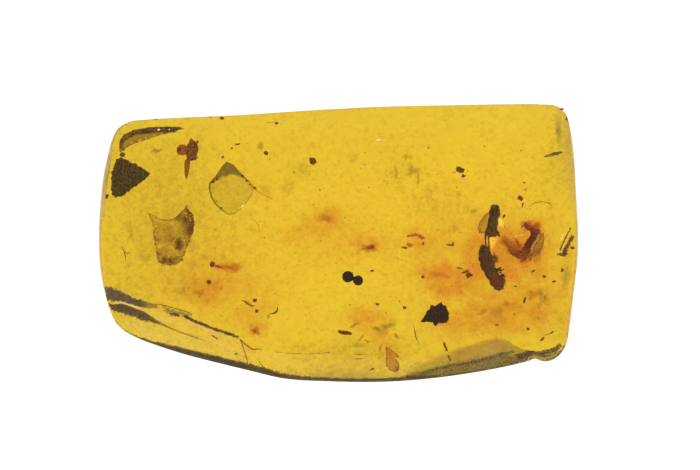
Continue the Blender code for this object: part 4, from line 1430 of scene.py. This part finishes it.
LEFT_RIM = (
    (-3, 0), (-1.5, 0.25), (0.5, 0.4), (2, 0.8), (2.6, 0.9), (5.2, 0.9), (6.2, 0.6), (7.2, 0.3),
)
RIGHT_RIM = (
    (-6.2, 0.6), (-5, 0.5), (-3, 0.3), (-1, 0.35), (2, 0.4), (4, 0.6), (6.5, 0.6), (7.9, 0.3),
)


def edge_glow_films():
    """A paler, duller film along the left-hand edge and darker olive films along the right-hand and far
    edges, all of which glow a little: the glow is painted light.
    """
    bm = bmesh.new()
    left, right = stepped(LEFT_RIM), stepped(RIGHT_RIM)

    def left_look(point, v):
        return min(1.0, (1 - v) / 0.25), left(point.y), 0.1 + 0.25 * (v > 0.8)

    def right_look(point, v):
        return 1.0, right(point.y) * (1 - v), 1.0

    def right_width(point):
        return 0.2 + 0.7 * min(1.0, max(0.0, (point.y - 1.0) / 3.0))

    edge_film(bm, 46, 54, lambda point: 0.2 + 0.16 * (1.5 < point.y < 5.8), left_look)
    edge_film(bm, 15, 25, right_width, right_look)
    edge_film(bm, 6, 15, lambda point: 0.16, lambda point, v: (1.0, 0.35 * (1 - v), 0.9))
    # Painted light: the glow brightens these films beyond what reaches them
    pale = film("edge_glow_films", (1.0, 0.82, 0.3), (0.76, 0.6, 0.26), grain=0.12, ragged=0.35,
                roughness=0.6, clear=0.4, glow=0.14)
    return ride(finish_piece("edge_glow_films", bm, pale), "flake_dark")


SCOOP_TOP = (
    (3.51, -7.68), (4.22, -7.28), (5.03, -7), (5.85, -6.66), (6.66, -6.3), (7.47, -6.02),
    (8.29, -5.82), (9.11, -5.64), (9.63, -5.58), (10.17, -5.74), (10.41, -5.98), (10.82, -6.22),
    (11.23, -6.37))
STRIPE = (
    (4.47, -7.92), (5.43, -7.68), (6.66, -7.38), (7.47, -7.24), (8.29, -7.08), (8.85, -6.92),
    (9.43, -6.76), (9.99, -6.59), (10.74, -6.42))
LOBE_BAND = (
    (11.13, -6.47), (11.55, -6.57), (11.91, -6.56), (12.27, -6.53), (12.63, -6.42), (13.02, -6.28),
    (13.35, -6))


def scoop_olive_film():
    """A dull olive film over the scooped corner, darker and more solid towards its foot, with a darker
    stripe, and over the knob beside it.
    """
    bm = bmesh.new()
    near = under_top(FACET_FILM_DEPTH)
    outer = rim_line(SCOOP_TOP[0][0], 11.3, lambda x: 0.06)

    def look(u, v):
        foot = min(1.0, max(0.0, (v - 0.5) / 0.2))
        solid = (0.25 + 0.1 * u) * min(1.0, v / (0.42 - 0.34 * u)) * min(1.0, u / 0.2) + 0.3 * foot
        dark = 0.15 * u + 0.35 * foot + 0.2 * max(0.0, u - 0.8) * 5
        return fade(u, v, 0.1, 0, 0.08, 0), min(0.8, solid), dark

    strip(bm, SCOOP_TOP, outer, near, look, along=90, across=24)
    ribbon(bm, STRIPE, 0.28, under_top(STRIPE_DEPTH), worn(0.5, 0.6, 0.2, 0.1, 0.5, 0.5), along=60,
           across=8)
    knob = rim_line(11.05, 13.4, lambda x: 0.06)
    top = ((10.85, -6.6),) + LOBE_BAND[:-1] + ((13.42, -6.2),)
    strip(bm, top, knob, near,
          lambda u, v: (fade(u, v, 0.05, 0.2, 0.1, 0.1), 0.65 - 0.3 * v, 0.4 - 0.2 * v),
          along=40, across=10)
    ribbon(bm, LOBE_BAND, 0.34, under_top(STRIPE_DEPTH), worn(0.7, 0.65, 0.05, 0.15, 0.35, 0.45),
           along=50, across=8)
    olive = film("olive_film", (0.74, 0.52, 0.12), (0.2, 0.14, 0.04), grain=0.1, ragged=0.4)
    return ride(finish_piece("scoop_olive_film", bm, olive), "flake_dark")


CRESCENT_OUT = (
    (-13.05, 5.34), (-13.14, 5.76), (-13.05, 6.18), (-12.81, 6.48), (-12.45, 6.66), (-12.03, 6.78),
    (-11.43, 6.86), (-10.71, 6.91), (-9.99, 6.92), (-9.27, 6.89))
CRESCENT_IN = (
    (-12.87, 5.46), (-12.63, 5.7), (-12.33, 5.89), (-11.91, 6.03), (-11.49, 6.16), (-11.01, 6.32),
    (-10.53, 6.46), (-10.11, 6.55), (-9.69, 6.68), (-9.27, 6.82))
# Inner edge of the painted dark reflection along the crack's outer side
BROW = (
    (-12.75, 5.46), (-12.82, 5.8), (-12.72, 6.02), (-12.5, 6.2), (-12.18, 6.36), (-11.8, 6.42),
    (-11.26, 6.45), (-10.62, 6.52), (-9.94, 6.62), (-9.42, 6.74))

CRACK_HEIGHT = 5.5


def crescent_crack():
    """A curved crack in the corner, with a painted dark reflection along its outer side."""
    bm = bmesh.new()
    flat = level(CRACK_HEIGHT, 0.1)
    strip(bm, CRESCENT_OUT, CRESCENT_IN, flat,
          lambda u, v: (fade(u, v, 0.05, 0.1, 0.1, 0.2), 0.5 + 0.3 * (v > 0.85), -0.1 + 0.5 * (v > 0.88)),
          along=60, across=16)

    # Painted dark reflection: the dark band between the crack's outer edge and the brow
    def dark(u, v):
        solid = stepped(((0.0, 0.6), (0.35, 0.7), (0.5, 0.97), (0.85, 0.9), (1.0, 0.5)))(u)
        stripe = max(0.0, 1 - abs(v - 0.5) * 5) if u > 0.5 else 0.0
        return fade(u, v, 0.08, 0.15, 0.2, 0.3), solid * (1 - 0.4 * stripe), 0.4 + 0.5 * min(1.0, u * 2)

    strip(bm, CRESCENT_OUT, BROW, level(CRACK_HEIGHT + 0.05, 0.1), dark, along=70, across=8)
    ribbon(bm, CRESCENT_IN, 0.07, level(CRACK_HEIGHT + 0.06, 0.1), worn(0.7, 0.5))
    for x, y, across, up in ((-12.9, 5.25, 0.4, 0.28), (-9.6, 6.78, 0.8, 0.14), (-9.9, 6.6, 0.5, 0.12)):
        blot(bm, x, y, across, up, level(CRACK_HEIGHT + 0.1), round_look(0.75, 0.8))
    body = film("crack_and_dark_reflection", (0.8, 0.5, 0.14), (0.16, 0.09, 0.035), grain=0.1, ragged=0.6)
    return ride(finish_piece("crescent_crack", bm, body), "flake_dark")


BUBBLE = (
    (-6.69, 4.86), (-6.99, 4.56), (-7.35, 4.02), (-7.74, 3.6), (-7.77, 3.3), (-7.65, 2.76),
    (-7.41, 2.34), (-7.05, 1.98), (-6.57, 1.68), (-6.21, 1.74), (-5.85, 1.98), (-5.49, 2.4),
    (-5.19, 2.82), (-5.07, 3.18), (-5.19, 3.54), (-5.55, 3.9), (-5.91, 4.26), (-6.27, 4.68))

BUBBLE_HEIGHT = MIDDLE + 0.9


def flat_bubble():
    """A flat drop-shaped bubble with a dull cap and a thin dark rim."""
    bm = bmesh.new()

    def look(point, r):
        arch = 3.98 - 0.32 * (point.x + 6.35) ** 2 + 0.12 * rough(point.x, point.y, size=0.3)
        cap = min(1.0, max(0.0, (point.y - arch) / 0.15))
        side = 0.35 + 0.65 * max(0.0, -point.x - 6.4)
        border = max(0.0, (r - 0.9) / 0.1)
        clear = min(0.75, 0.1 + 0.7 * border * side)
        return 1.0, clear + (0.58 - clear) * cap, 0.7 * border + 0.25 * cap + 0.5 * cap * (1 - cap)

    patch(bm, BUBBLE, lambda x, y, r: Vector((x, y, BUBBLE_HEIGHT)), lambda p, r: 0.03, look,
          rings=32, sectors=150, centre=(-6.5, 3.1))
    for (x, y), size in (((-5.73, 4.02), 0.2), ((-5.49, 3.72), 0.16), ((-5.0, 3.3), 0.2),
                         ((-7.5, 3.66), 0.22), ((-7.3, 3.8), 0.16), ((-5.3, 3.5), 0.14),
                         ((-7.0, 2.1), 0.14), ((-7.3, 2.5), 0.12)):
        blot(bm, x, y, size, size * 0.8, level(BUBBLE_HEIGHT + 0.05), round_look(0.85, 0.85))
    ribbon(bm, ((-5.19, 3.54), (-4.9, 3.15), (-4.65, 2.97), (-4.1, 2.7), (-3.57, 2.4)), 0.06,
           level(BUBBLE_HEIGHT), lambda u, v: (fade(u, v, 0.1, 0.3), 0.5 * (1 - 0.7 * u), 0.4))
    body = film("bubble_film", (0.5, 0.4, 0.16), (0.16, 0.1, 0.03), grain=0.12, ragged=0.3)
    return ride(finish_piece("flat_bubble", bm, body), "flake_dark")


FRACTURE_A = ((13.2, -0.48), (13.29, -0.24), (13.44, 0.09), (13.62, 0.45), (13.8, 0.78), (13.89, 0.99))
FRACTURE_B = ((13.41, -0.66), (13.59, -0.33), (13.74, -0.03), (13.89, 0.27), (14.03, 0.48))
ELLIPSE = (
    (12.09, 5.16), (12.45, 5.3), (12.87, 5.44), (13.29, 5.48), (13.45, 5.42), (13.17, 5.28),
    (12.75, 5.16), (12.33, 5.1))


def side_cracks():
    """The cracks close to the right-hand side."""
    bm = bmesh.new()
    near = under_top(CREASE_DEPTH)
    ribbon(bm, FRACTURE_A, 0.12, under_top(STRIPE_DEPTH), worn(0.85, 0.7, 0.05, 0.2, 0.4, 0.4))
    ribbon(bm, FRACTURE_B, 0.34, under_top(STRIPE_DEPTH),
           lambda u, v: (fade(u, v, 0.05, 0.1, 0.4, 0.4), 0.85, 0.9 - 0.4 * u))
    blot(bm, 13.42, -0.68, 0.72, 0.36, under_top(0.2), round_look(0.85, 0.4, 2), ragged=0.6)
    patch(bm, ELLIPSE, lambda x, y, r: near(x, y), lambda p, r: FILM,
          lambda p, r: (min(1.0, (1 - r) * 4), 0.5 + 0.4 * min(1.0, max(0.0, p.y - 5.2) * 4), 0.5),
          rings=10, sectors=70, centre=(12.95, 5.3))
    for line, width, solid in (
            (((13.0, 7.9), (13.1, 7.2), (13.14, 6.4), (13.2, 5.6)), 0.55, 0.42),
            (((13.42, -0.9), (13.6, -1.6), (13.5, -2.4), (13.3, -3.2)), 0.8, 0.3)):
        ribbon(bm, line, width, near, faint_band(solid), across=10)
    body = film("crack_film", (0.66, 0.4, 0.09), (0.3, 0.1, 0.035), grain=0.1, ragged=0.5)
    return ride(finish_piece("side_cracks", bm, body), "flake_dark")


def corner_dirt():
    """Crumbs of dirt that stand on the edge of the far right corner and side."""
    bm = bmesh.new()
    for x, y, across, up, turn in ((13.33, 7.98, 0.30, 0.17, 20), (13.62, 7.36, 0.16, 0.16, 0),
                                   (13.86, 6.40, 0.12, 0.18, 10), (14.00, 5.36, 0.12, 0.2, 0),
                                   (-13.92, 4.08, 0.14, 0.12, 0), (-13.86, 2.74, 0.2, 0.2, 0),
                                   (-10.9, 7.36, 0.2, 0.12, 0), (-7.66, 7.50, 0.2, 0.1, 0)):
        ball(bm, x, y, 2.2, 1.0, stretch=(across, up, 0.3), turn=turn, fine=2)
    dirt = dull("dirt", (0.3, 0.2, 0.06), size=0.08, roughness=0.7)
    return ride(finish_piece("corner_dirt", bm, dirt), "flake_dark")


# ---------------------------------------------------------------------------------------------
# Specks, hairs and dust

# (x, y, width, height, turn)
DARK_SPECKS = (
    (-6.03, 5.82, 0.48, 0.12, 4), (-6.39, 5.58, 0.12, 0.12, 0), (-6.93, 5.1, 0.18, 0.18, 0),
    (-6.99, 7.32, 0.24, 0.18, 20), (-4.35, 5.34, 0.24, 0.24, 0), (-1.53, 4.86, 0.36, 0.42, 20),
    (-7.77, -2.34, 0.22, 0.22, 0), (-4.99, -3.42, 0.24, 0.24, 0), (-4.9, -4.08, 0.2, 0.2, 0),
    (7.83, -1.92, 0.34, 0.26, 20), (5.07, -2.04, 0.2, 0.2, 0), (2.01, -7.14, 0.34, 0.1, 25),
    (7.29, 4.38, 0.5, 0.34, -8), (13.38, -1.62, 0.16, 0.28, 0), (11.37, -5.16, 0.18, 0.18, 0),
    (11.67, -1.68, 0.34, 0.12, 40), (12.2, -5.75, 0.34, 0.14, 40), (12.75, -5.35, 0.3, 0.12, 30),
    (-1.66, 4.98, 0.2, 0.2, 0), (12.9, -2.3, 0.26, 0.1, 10), (11.1, 3.6, 0.14, 0.1, 0),
    (-3.7, 7, 0.24, 0.14, 20), (-13.83, 2.85, 0.16, 0.16, 0),
)
RED_SPECKS = (
    (-7.55, -1.29, 0.32, 0.32, 0), (-7.2, -1.4, 0.4, 0.12, -14), (1.95, -0.24, 0.44, 0.22, 10),
    (6.69, -0.12, 0.5, 0.12, -4), (6.85, -0.02, 0.12, 0.14, 0), (7.47, 4.02, 0.26, 0.22, 0),
    (10.87, 2.68, 0.38, 0.26, -40), (11.02, 2.3, 0.1, 0.34, -10), (11.16, -3.42, 0.14, 0.56, -20),
    (6.39, -6.18, 0.14, 0.6, 24), (6.5, -6.42, 0.22, 0.1, -20), (0.4, -5.36, 0.8, 0.22, -8),
    (0.1, -5.3, 0.3, 0.16, 0), (2.31, -3.66, 0.26, 0.16, 0), (3.93, -3.87, 0.22, 0.2, 0),
    (1.98, -1.66, 0.22, 0.16, 0), (4.2, 0.42, 0.24, 0.12, 10), (5.08, -0.02, 0.12, 0.24, 0),
    (3.98, -0.28, 0.34, 0.14, -10), (7.62, -1.7, 0.5, 0.12, 20), (7.2, -1.5, 0.4, 0.08, -10),
    (-5, -5.3, 0.2, 0.14, 0), (9.9, 1.6, 0.3, 0.14, 60), (12.3, -2, 0.2, 0.14, 0),
    (13.95, -0.3, 0.2, 0.24, 0), (9.5, -4.9, 0.2, 0.1, 0), (10.6, -2.6, 0.16, 0.1, 0),
)
SMUDGES = (
    (-10.89, 5.46, 0.66, 0.26, 0, 0.33), (-4.65, 5.7, 0.36, 0.42, 0, 0.27),
    (4.11, 5.1, 0.44, 0.38, 0, 0.21), (3.45, 4.2, 0.22, 0.84, 0, 0.24), (4.41, 4.32, 0.6, 0.5, 0, 0.24),
    (4.77, 3.84, 0.14, 0.66, 0, 0.24), (8.1, 1.92, 0.5, 0.2, 10, 0.24), (11.2, 3.2, 0.2, 0.14, 0, 0.24),
    (7, 0.9, 0.5, 0.5, 0, 0.12), (-2.1, 4.5, 0.9, 0.7, 0, 0.09), (0.9, 5.1, 0.8, 0.5, 0, 0.09),
    (-2.9, 3.3, 0.7, 0.9, 0, 0.09), (5.4, 2.9, 0.4, 0.7, 0, 0.12), (-11.5, -1, 0.5, 0.8, 0, 0.12),
    (-12.4, 0.6, 0.3, 1, 10, 0.15), (-9.4, -2.9, 0.6, 0.5, 0, 0.12), (2.6, -5.2, 0.7, 0.5, 0, 0.18),
    (1.2, -6.1, 0.8, 0.3, 0, 0.15), (3.3, -4.8, 0.4, 0.6, 0, 0.15), (9.6, -4.1, 0.9, 0.5, 20, 0.15),
    (12.2, -3.4, 0.5, 0.9, 0, 0.18), (7.2, 2.9, 0.4, 0.3, 0, 0.12),
)
HAIRS = (
    (((-13.0, -0.12), (-12.82, -0.5), (-12.75, -0.78), (-12.7, -1.15)), 0.05),
    (((-12.82, -0.5), (-12.62, -0.62), (-12.48, -0.52)), 0.04),
    (((-5.88, -3.36), (-5.6, -3.5), (-5.37, -3.66), (-5.1, -3.76), (-4.98, -3.72)), 0.07),
    (((-4.14, -4.19), (-3.85, -4.2), (-3.66, -4.02), (-3.62, -3.7)), 0.09),
    (((0.9, -6.62), (1.2, -6.66), (1.6, -6.63)), 0.05),
    (((4.44, -4.8), (4.55, -5.2), (4.66, -5.7), (4.95, -6.18)), 0.05),
    (((1.5, -5.7), (1.75, -5.9), (1.95, -5.85)), 0.05),
    (((12.2, -5.55), (12.55, -5.45), (13.05, -5.22)), 0.05),
    (((-12.86, 5.0), (-12.9, 4.6)), 0.04),
    (((11.35, 2.16), (11.8, 2.42), (12.4, 2.44), (12.72, 2.3), (12.7, 2.05)), 0.035),
    (((-5.2, 1.5), (-4.8, 1.1), (-4.75, 0.6)), 0.03),
    (((-4.3, 7.1), (-3.7, 7.1), (-3.8, 6.8)), 0.03),
)


def specks(draw):
    """The larger specks, each where it lies in plan and at a drawn height."""
    for name, table, colour in (("dark_specks", DARK_SPECKS, (0.55, 0.28, 0.09)),
                                ("red_specks", RED_SPECKS, (0.85, 0.3, 0.07))):
        bm = bmesh.new()
        for x, y, across, up, turn in table:
            z = draw.uniform(-1.2, 1.6)
            made = ball(bm, x, y, z, 1.0, stretch=(across, up, min(across, up) * 0.7), turn=turn,
                        fine=3)
            for vertex in made:
                away = vertex.co - Vector((x, y, MIDDLE + z))
                vertex.co += away * 0.6 * noise.noise(vertex.co / 0.12)
        grit = dull(name, colour, size=0.1, contrast=0.4, roughness=0.6)
        ride(finish_piece(name, bm, grit), "chunk")


def smudges(draw):
    """Faint olive smudges."""
    bm = bmesh.new()
    for x, y, across, up, turn, solid in SMUDGES:
        height = MIDDLE + draw.uniform(-1, 1)
        blot(bm, x, y, across * SMUDGE_SPREAD, up * SMUDGE_SPREAD, level(height, 0.1),
             cloudy(solid, 0.3, 1.5), turn=turn, ragged=0.8, rings=8, sectors=48)
    haze = film("smudge_film", (0.6, 0.4, 0.08), (0.3, 0.18, 0.05), grain=0.16, ragged=0.9)
    return ride(finish_piece("smudges", bm, haze), "leaf")


def hairs(draw):
    """Thin brown hairs that rise a little along their length."""
    bm = bmesh.new()
    for line, width in HAIRS:
        z = draw.uniform(0.2, 1.6)
        rows = [(x, y, z + 0.1 * i, width) for i, (x, y) in enumerate(line)]
        if len(rows) == 2:
            rows.insert(1, tuple((a + b) / 2 for a, b in zip(*rows)))
        tube(bm, [(*rows[0][:3], 0), *rows[1:-1], (*rows[-1][:3], 0)], sides=6, steps=6)
    hair = dull("hair_brown", (0.42, 0.24, 0.07), size=0.1, contrast=0.3)
    return ride(finish_piece("hairs", bm, hair), "chunk")


def painted_glints():
    """Painted highlights: tiny pale films that glow, standing for light caught in cracks and on edges."""
    bm = bmesh.new()
    ribbon(bm, ((-13.4, -3.6), (-12.95, -3.56), (-12.4, -3.72), (-11.85, -3.92), (-11.5, -4.05)),
           0.07, under_top(PAINTED_GLINT_DEPTH), worn(0.75, 0.1, 0.1, 0.3, 0.3, 0.3))
    for x, y, across, up, turn in ((-10.73, 6.79, 0.2, 0.12, 0), (-5.72, 2.2, 0.4, 0.1, 40),
                                   (2.4, 6.18, 0.5, 0.12, 8), (-10.1, 6.8, 0.1, 0.08, 0),
                                   (13.35, 0.35, 0.1, 0.5, -28)):
        blot(bm, x, y, across, up, under_top(0.3), round_look(0.8, 0.2), turn=turn)
    # Painted highlight colour, with a glow of its own
    pale = film("painted_glint", (1.0, 0.93, 0.5), (0.85, 0.7, 0.2), grain=0.1, ragged=0.2,
                roughness=0.3, glow=0.5)
    return ride(finish_piece("painted_glints", bm, pale), "amber")


DUST_CENTRE = (0.3, 0.6)
DUST_SIZES = (25.0, 10.6, 3.4, 0.035)   # of the cloud of grains, and of a grain
GRAIN_LEAST, GRAIN_MOST, GRAIN_TURN = (0.4, 0.4, 0.4), (2.2, 1.2, 1.2), (6.28, 6.28, 6.28)


def dust():
    """Grains scattered through the amber by Geometry Nodes, then made one plain mesh."""
    tree = bpy.data.node_groups.new("dust_scatter", "GeometryNodeTree")
    tree.interface.new_socket("Geometry", in_out="OUTPUT", socket_type="NodeSocketGeometry")
    sizes = dict(zip(("Length", "Width", "Depth", "Grain size"), DUST_SIZES))
    counts = {"Grains": settings().grains, "Seed": settings().seed}
    for kind, inputs in (("NodeSocketFloat", sizes), ("NodeSocketInt", counts)):
        for name, value in inputs.items():
            tree.interface.new_socket(name, in_out="INPUT", socket_type=kind).default_value = value
    graph = Graph(tree)

    def given(name):
        return graph.node("NodeGroupInput", {}, {}, output=name)

    def drawn(kind, inputs, output=0):
        return graph.node("FunctionNodeRandomValue", {"data_type": kind}, inputs, output)

    def spread(name, seed):
        """Random values from minus half an input to half of it."""
        size = given(name)
        return drawn("FLOAT", {2: size * -0.5, 3: size * 0.5, 8: given("Seed") + seed}, output=1)

    place = graph.node("ShaderNodeCombineXYZ", {},
                       [spread("Length", 1), spread("Width", 2), spread("Depth", 3)])
    points = graph.node("GeometryNodePoints", {}, {"Count": given("Grains"), "Position": place})
    grain = graph.node("GeometryNodeMeshIcoSphere", {},
                       {"Radius": given("Grain size"), "Subdivisions": 1})
    turn = drawn("FLOAT_VECTOR", {"Seed": given("Seed"), 0: (0, 0, 0), 1: GRAIN_TURN})
    size = drawn("FLOAT_VECTOR", {"Seed": given("Seed"), 0: GRAIN_LEAST, 1: GRAIN_MOST})
    copies = graph.node("GeometryNodeInstanceOnPoints", {}, {
        "Points": points, "Instance": grain, "Rotation": turn, "Scale": size})
    real = graph.node("GeometryNodeRealizeInstances", {}, [copies])
    brown = dull("dust_brown", (0.26, 0.13, 0.04), size=0.1, contrast=0.4)
    finish = graph.node("GeometryNodeSetMaterial", {}, {"Geometry": real, "Material": brown})
    graph.node("NodeGroupOutput", {}, [finish])

    holder = loose("dust_points", bmesh.new())
    scatter = holder.modifiers.new("scatter", "NODES")
    scatter.node_group = tree
    mesh = bpy.data.meshes.new_from_object(evaluated(holder))
    mesh.name = "dust"
    discard(holder)
    mesh.transform(Matrix.Translation((*DUST_CENTRE, MIDDLE)))
    return ride(link_piece("dust", finish_mesh(mesh), brown), "chunk")


# ---------------------------------------------------------------------------------------------
# Stage

def make_floor(stage):
    """A pale sheet that glows softly, as a light table does."""
    half = stage.floor_size / 2
    mesh = bpy.data.meshes.new("floor")
    corners = [(-half, -half), (half, -half), (half, half), (-half, half)]
    mesh.from_pydata([(x, y, -AIR_FILM * MM) for x, y in corners], [], [(0, 1, 2, 3)])

    def inputs(graph):
        cloud = graph.noise(60.0, detail=2.0)
        return {
            "Base Color": graph.mix(cloud, (0.86, 0.86, 0.86), (0.9, 0.9, 0.9)),
            "Roughness": 0.9,
            "Specular IOR Level": 0.0,
            "Emission Color": (1.0, 1.0, 1.0, 1.0),
            "Emission Strength": stage.floor_glow,
        }

    floor = link_piece("floor", mesh, surface("floor_pale", inputs))


def make_sky(stage):
    """Even light that dims towards the horizon, and straight above, where the camera is."""
    world = bpy.data.worlds.new("studio")
    bpy.context.scene.world = world
    world.use_nodes = True
    graph = Graph(world.node_tree)
    way = graph.node("ShaderNodeTexCoord", {}, {}, output="Generated")
    up = graph.node("ShaderNodeSeparateXYZ", {}, [way], output="Z")
    level = up.ease(0.05, 0.75) * (stage.sky - stage.horizon) + stage.horizon
    level = level * (1 - up.ease(0.93, 0.985) * 0.5)
    light = graph.node("ShaderNodeBackground", {}, [(1.0, 0.99, 0.97, 1.0), level])
    graph.node("ShaderNodeOutputWorld", {}, {"Surface": light})


def make_camera(stage):
    """A long lens that looks straight down."""
    data = bpy.data.cameras.new("camera")
    data.sensor_width = 36.0
    data.lens = data.sensor_width * stage.distance / stage.view_width
    data.clip_start = 0.01
    data.clip_end = 3.0
    camera = bpy.data.objects.new("camera", data)
    camera.location = (*stage.centre, stage.distance + MIDDLE * MM)
    bpy.context.scene.collection.objects.link(camera)
    bpy.context.scene.camera = camera
    bpy.context.scene.view_settings.view_transform = "Standard"


# ---------------------------------------------------------------------------------------------
# Operators and panel

class AMBER_OT_body(bpy.types.Operator):
    """Make the clear amber that stands for both CAD halves"""

    bl_idname = "amber.body"
    bl_label = "Clear amber"

    def execute(self, context):
        SURFACE["tree"] = amber_body()
        return {"FINISHED"}


class AMBER_OT_insect(bpy.types.Operator):
    """Make the large dark insect, its folded wing and the stain round it"""

    bl_idname = "amber.insect"
    bl_label = "Large insect"

    def execute(self, context):
        insect()
        folded_wing()
        insect_halo()
        flaw_highlights()
        return {"FINISHED"}


class AMBER_OT_curled_insect(bpy.types.Operator):
    """Make the curled reddish insect and its crumpled wing"""

    bl_idname = "amber.curled_insect"
    bl_label = "Curled insect"

    def execute(self, context):
        curled_insect()
        crumpled_wing()
        return {"FINISHED"}


class AMBER_OT_small_fly(bpy.types.Operator):
    """Make the small fly"""

    bl_idname = "amber.small_fly"
    bl_label = "Small fly"

    def execute(self, context):
        small_fly()
        return {"FINISHED"}


class AMBER_OT_scraps(bpy.types.Operator):
    """Make the leaf scrap, the bark flake, the orange scrap and the dark crumb"""

    bl_idname = "amber.scraps"
    bl_label = "Plant scraps"

    def execute(self, context):
        leaf_scrap()
        bark_flake()
        orange_scrap()
        crumb()
        return {"FINISHED"}


class AMBER_OT_pellets(bpy.types.Operator):
    """Make the two round pellets"""

    bl_idname = "amber.pellets"
    bl_label = "Round pellets"

    def execute(self, context):
        pellets()
        return {"FINISHED"}


class AMBER_OT_surface_films(bpy.types.Operator):
    """Make the painted shade, reflections and glow on the ground corners and the edges, the olive film of
    the scooped corner, and the dirt on the edges
    """

    bl_idname = "amber.skin"
    bl_label = "Painted shade films"

    def execute(self, context):
        ridge_dark_reflection()
        facet_reflection()
        near_edge_shade()
        edge_glow_films()
        scoop_olive_film()
        corner_dirt()
        return {"FINISHED"}


class AMBER_OT_cracks(bpy.types.Operator):
    """Make the cracks, the flat bubble and the painted highlights"""

    bl_idname = "amber.cracks"
    bl_label = "Cracks and bubble"

    def execute(self, context):
        crescent_crack()
        flat_bubble()
        side_cracks()
        painted_glints()
        return {"FINISHED"}


class AMBER_OT_specks(bpy.types.Operator):
    """Make the specks, hairs and dust"""

    bl_idname = "amber.specks"
    bl_label = "Specks and dust"

    def execute(self, context):
        draw = random.Random(settings().seed)
        specks(draw)
        smudges(draw)
        hairs(draw)
        dust()
        return {"FINISHED"}


class AMBER_OT_stage(bpy.types.Operator):
    """Make the floor, the light and the camera"""

    bl_idname = "amber.stage"
    bl_label = "Floor, light and camera"

    def execute(self, context):
        stage = context.scene.amber_stage
        make_floor(stage)
        make_sky(stage)
        make_camera(stage)
        return {"FINISHED"}


class AMBER_PT_panel(bpy.types.Panel):
    """Lists the operators in the sidebar"""

    bl_idname = "AMBER_PT_panel"
    bl_label = "Insect in amber"
    bl_space_type = "VIEW_3D"
    bl_region_type = "UI"
    bl_category = "Amber"

    def draw(self, context):
        for operator in OPERATORS:
            self.layout.operator(operator.bl_idname)
        for group in (context.scene.amber_body, context.scene.amber_inclusions,
                      context.scene.amber_stage):
            box = self.layout.box()
            for name in group.__annotations__:
                box.prop(group, name)


OPERATORS = (AMBER_OT_body, AMBER_OT_insect, AMBER_OT_curled_insect, AMBER_OT_small_fly,
             AMBER_OT_scraps, AMBER_OT_pellets, AMBER_OT_surface_films, AMBER_OT_cracks, AMBER_OT_specks,
             AMBER_OT_stage)
CLASSES = (AmberSettings, InclusionSettings, StageSettings, *OPERATORS, AMBER_PT_panel)


def register():
    for made in CLASSES:
        bpy.utils.register_class(made)
    bpy.types.Scene.amber_body = PointerProperty(type=AmberSettings)
    bpy.types.Scene.amber_inclusions = PointerProperty(type=InclusionSettings)
    bpy.types.Scene.amber_stage = PointerProperty(type=StageSettings)


def unregister():
    for name in ("amber_body", "amber_inclusions", "amber_stage"):
        delattr(bpy.types.Scene, name)
    for made in reversed(CLASSES):
        bpy.utils.unregister_class(made)


def main():
    register()
    for operator in OPERATORS:
        group, name = operator.bl_idname.split(".")
        getattr(getattr(bpy.ops, group), name)()


if __name__ == "__main__":
    main()
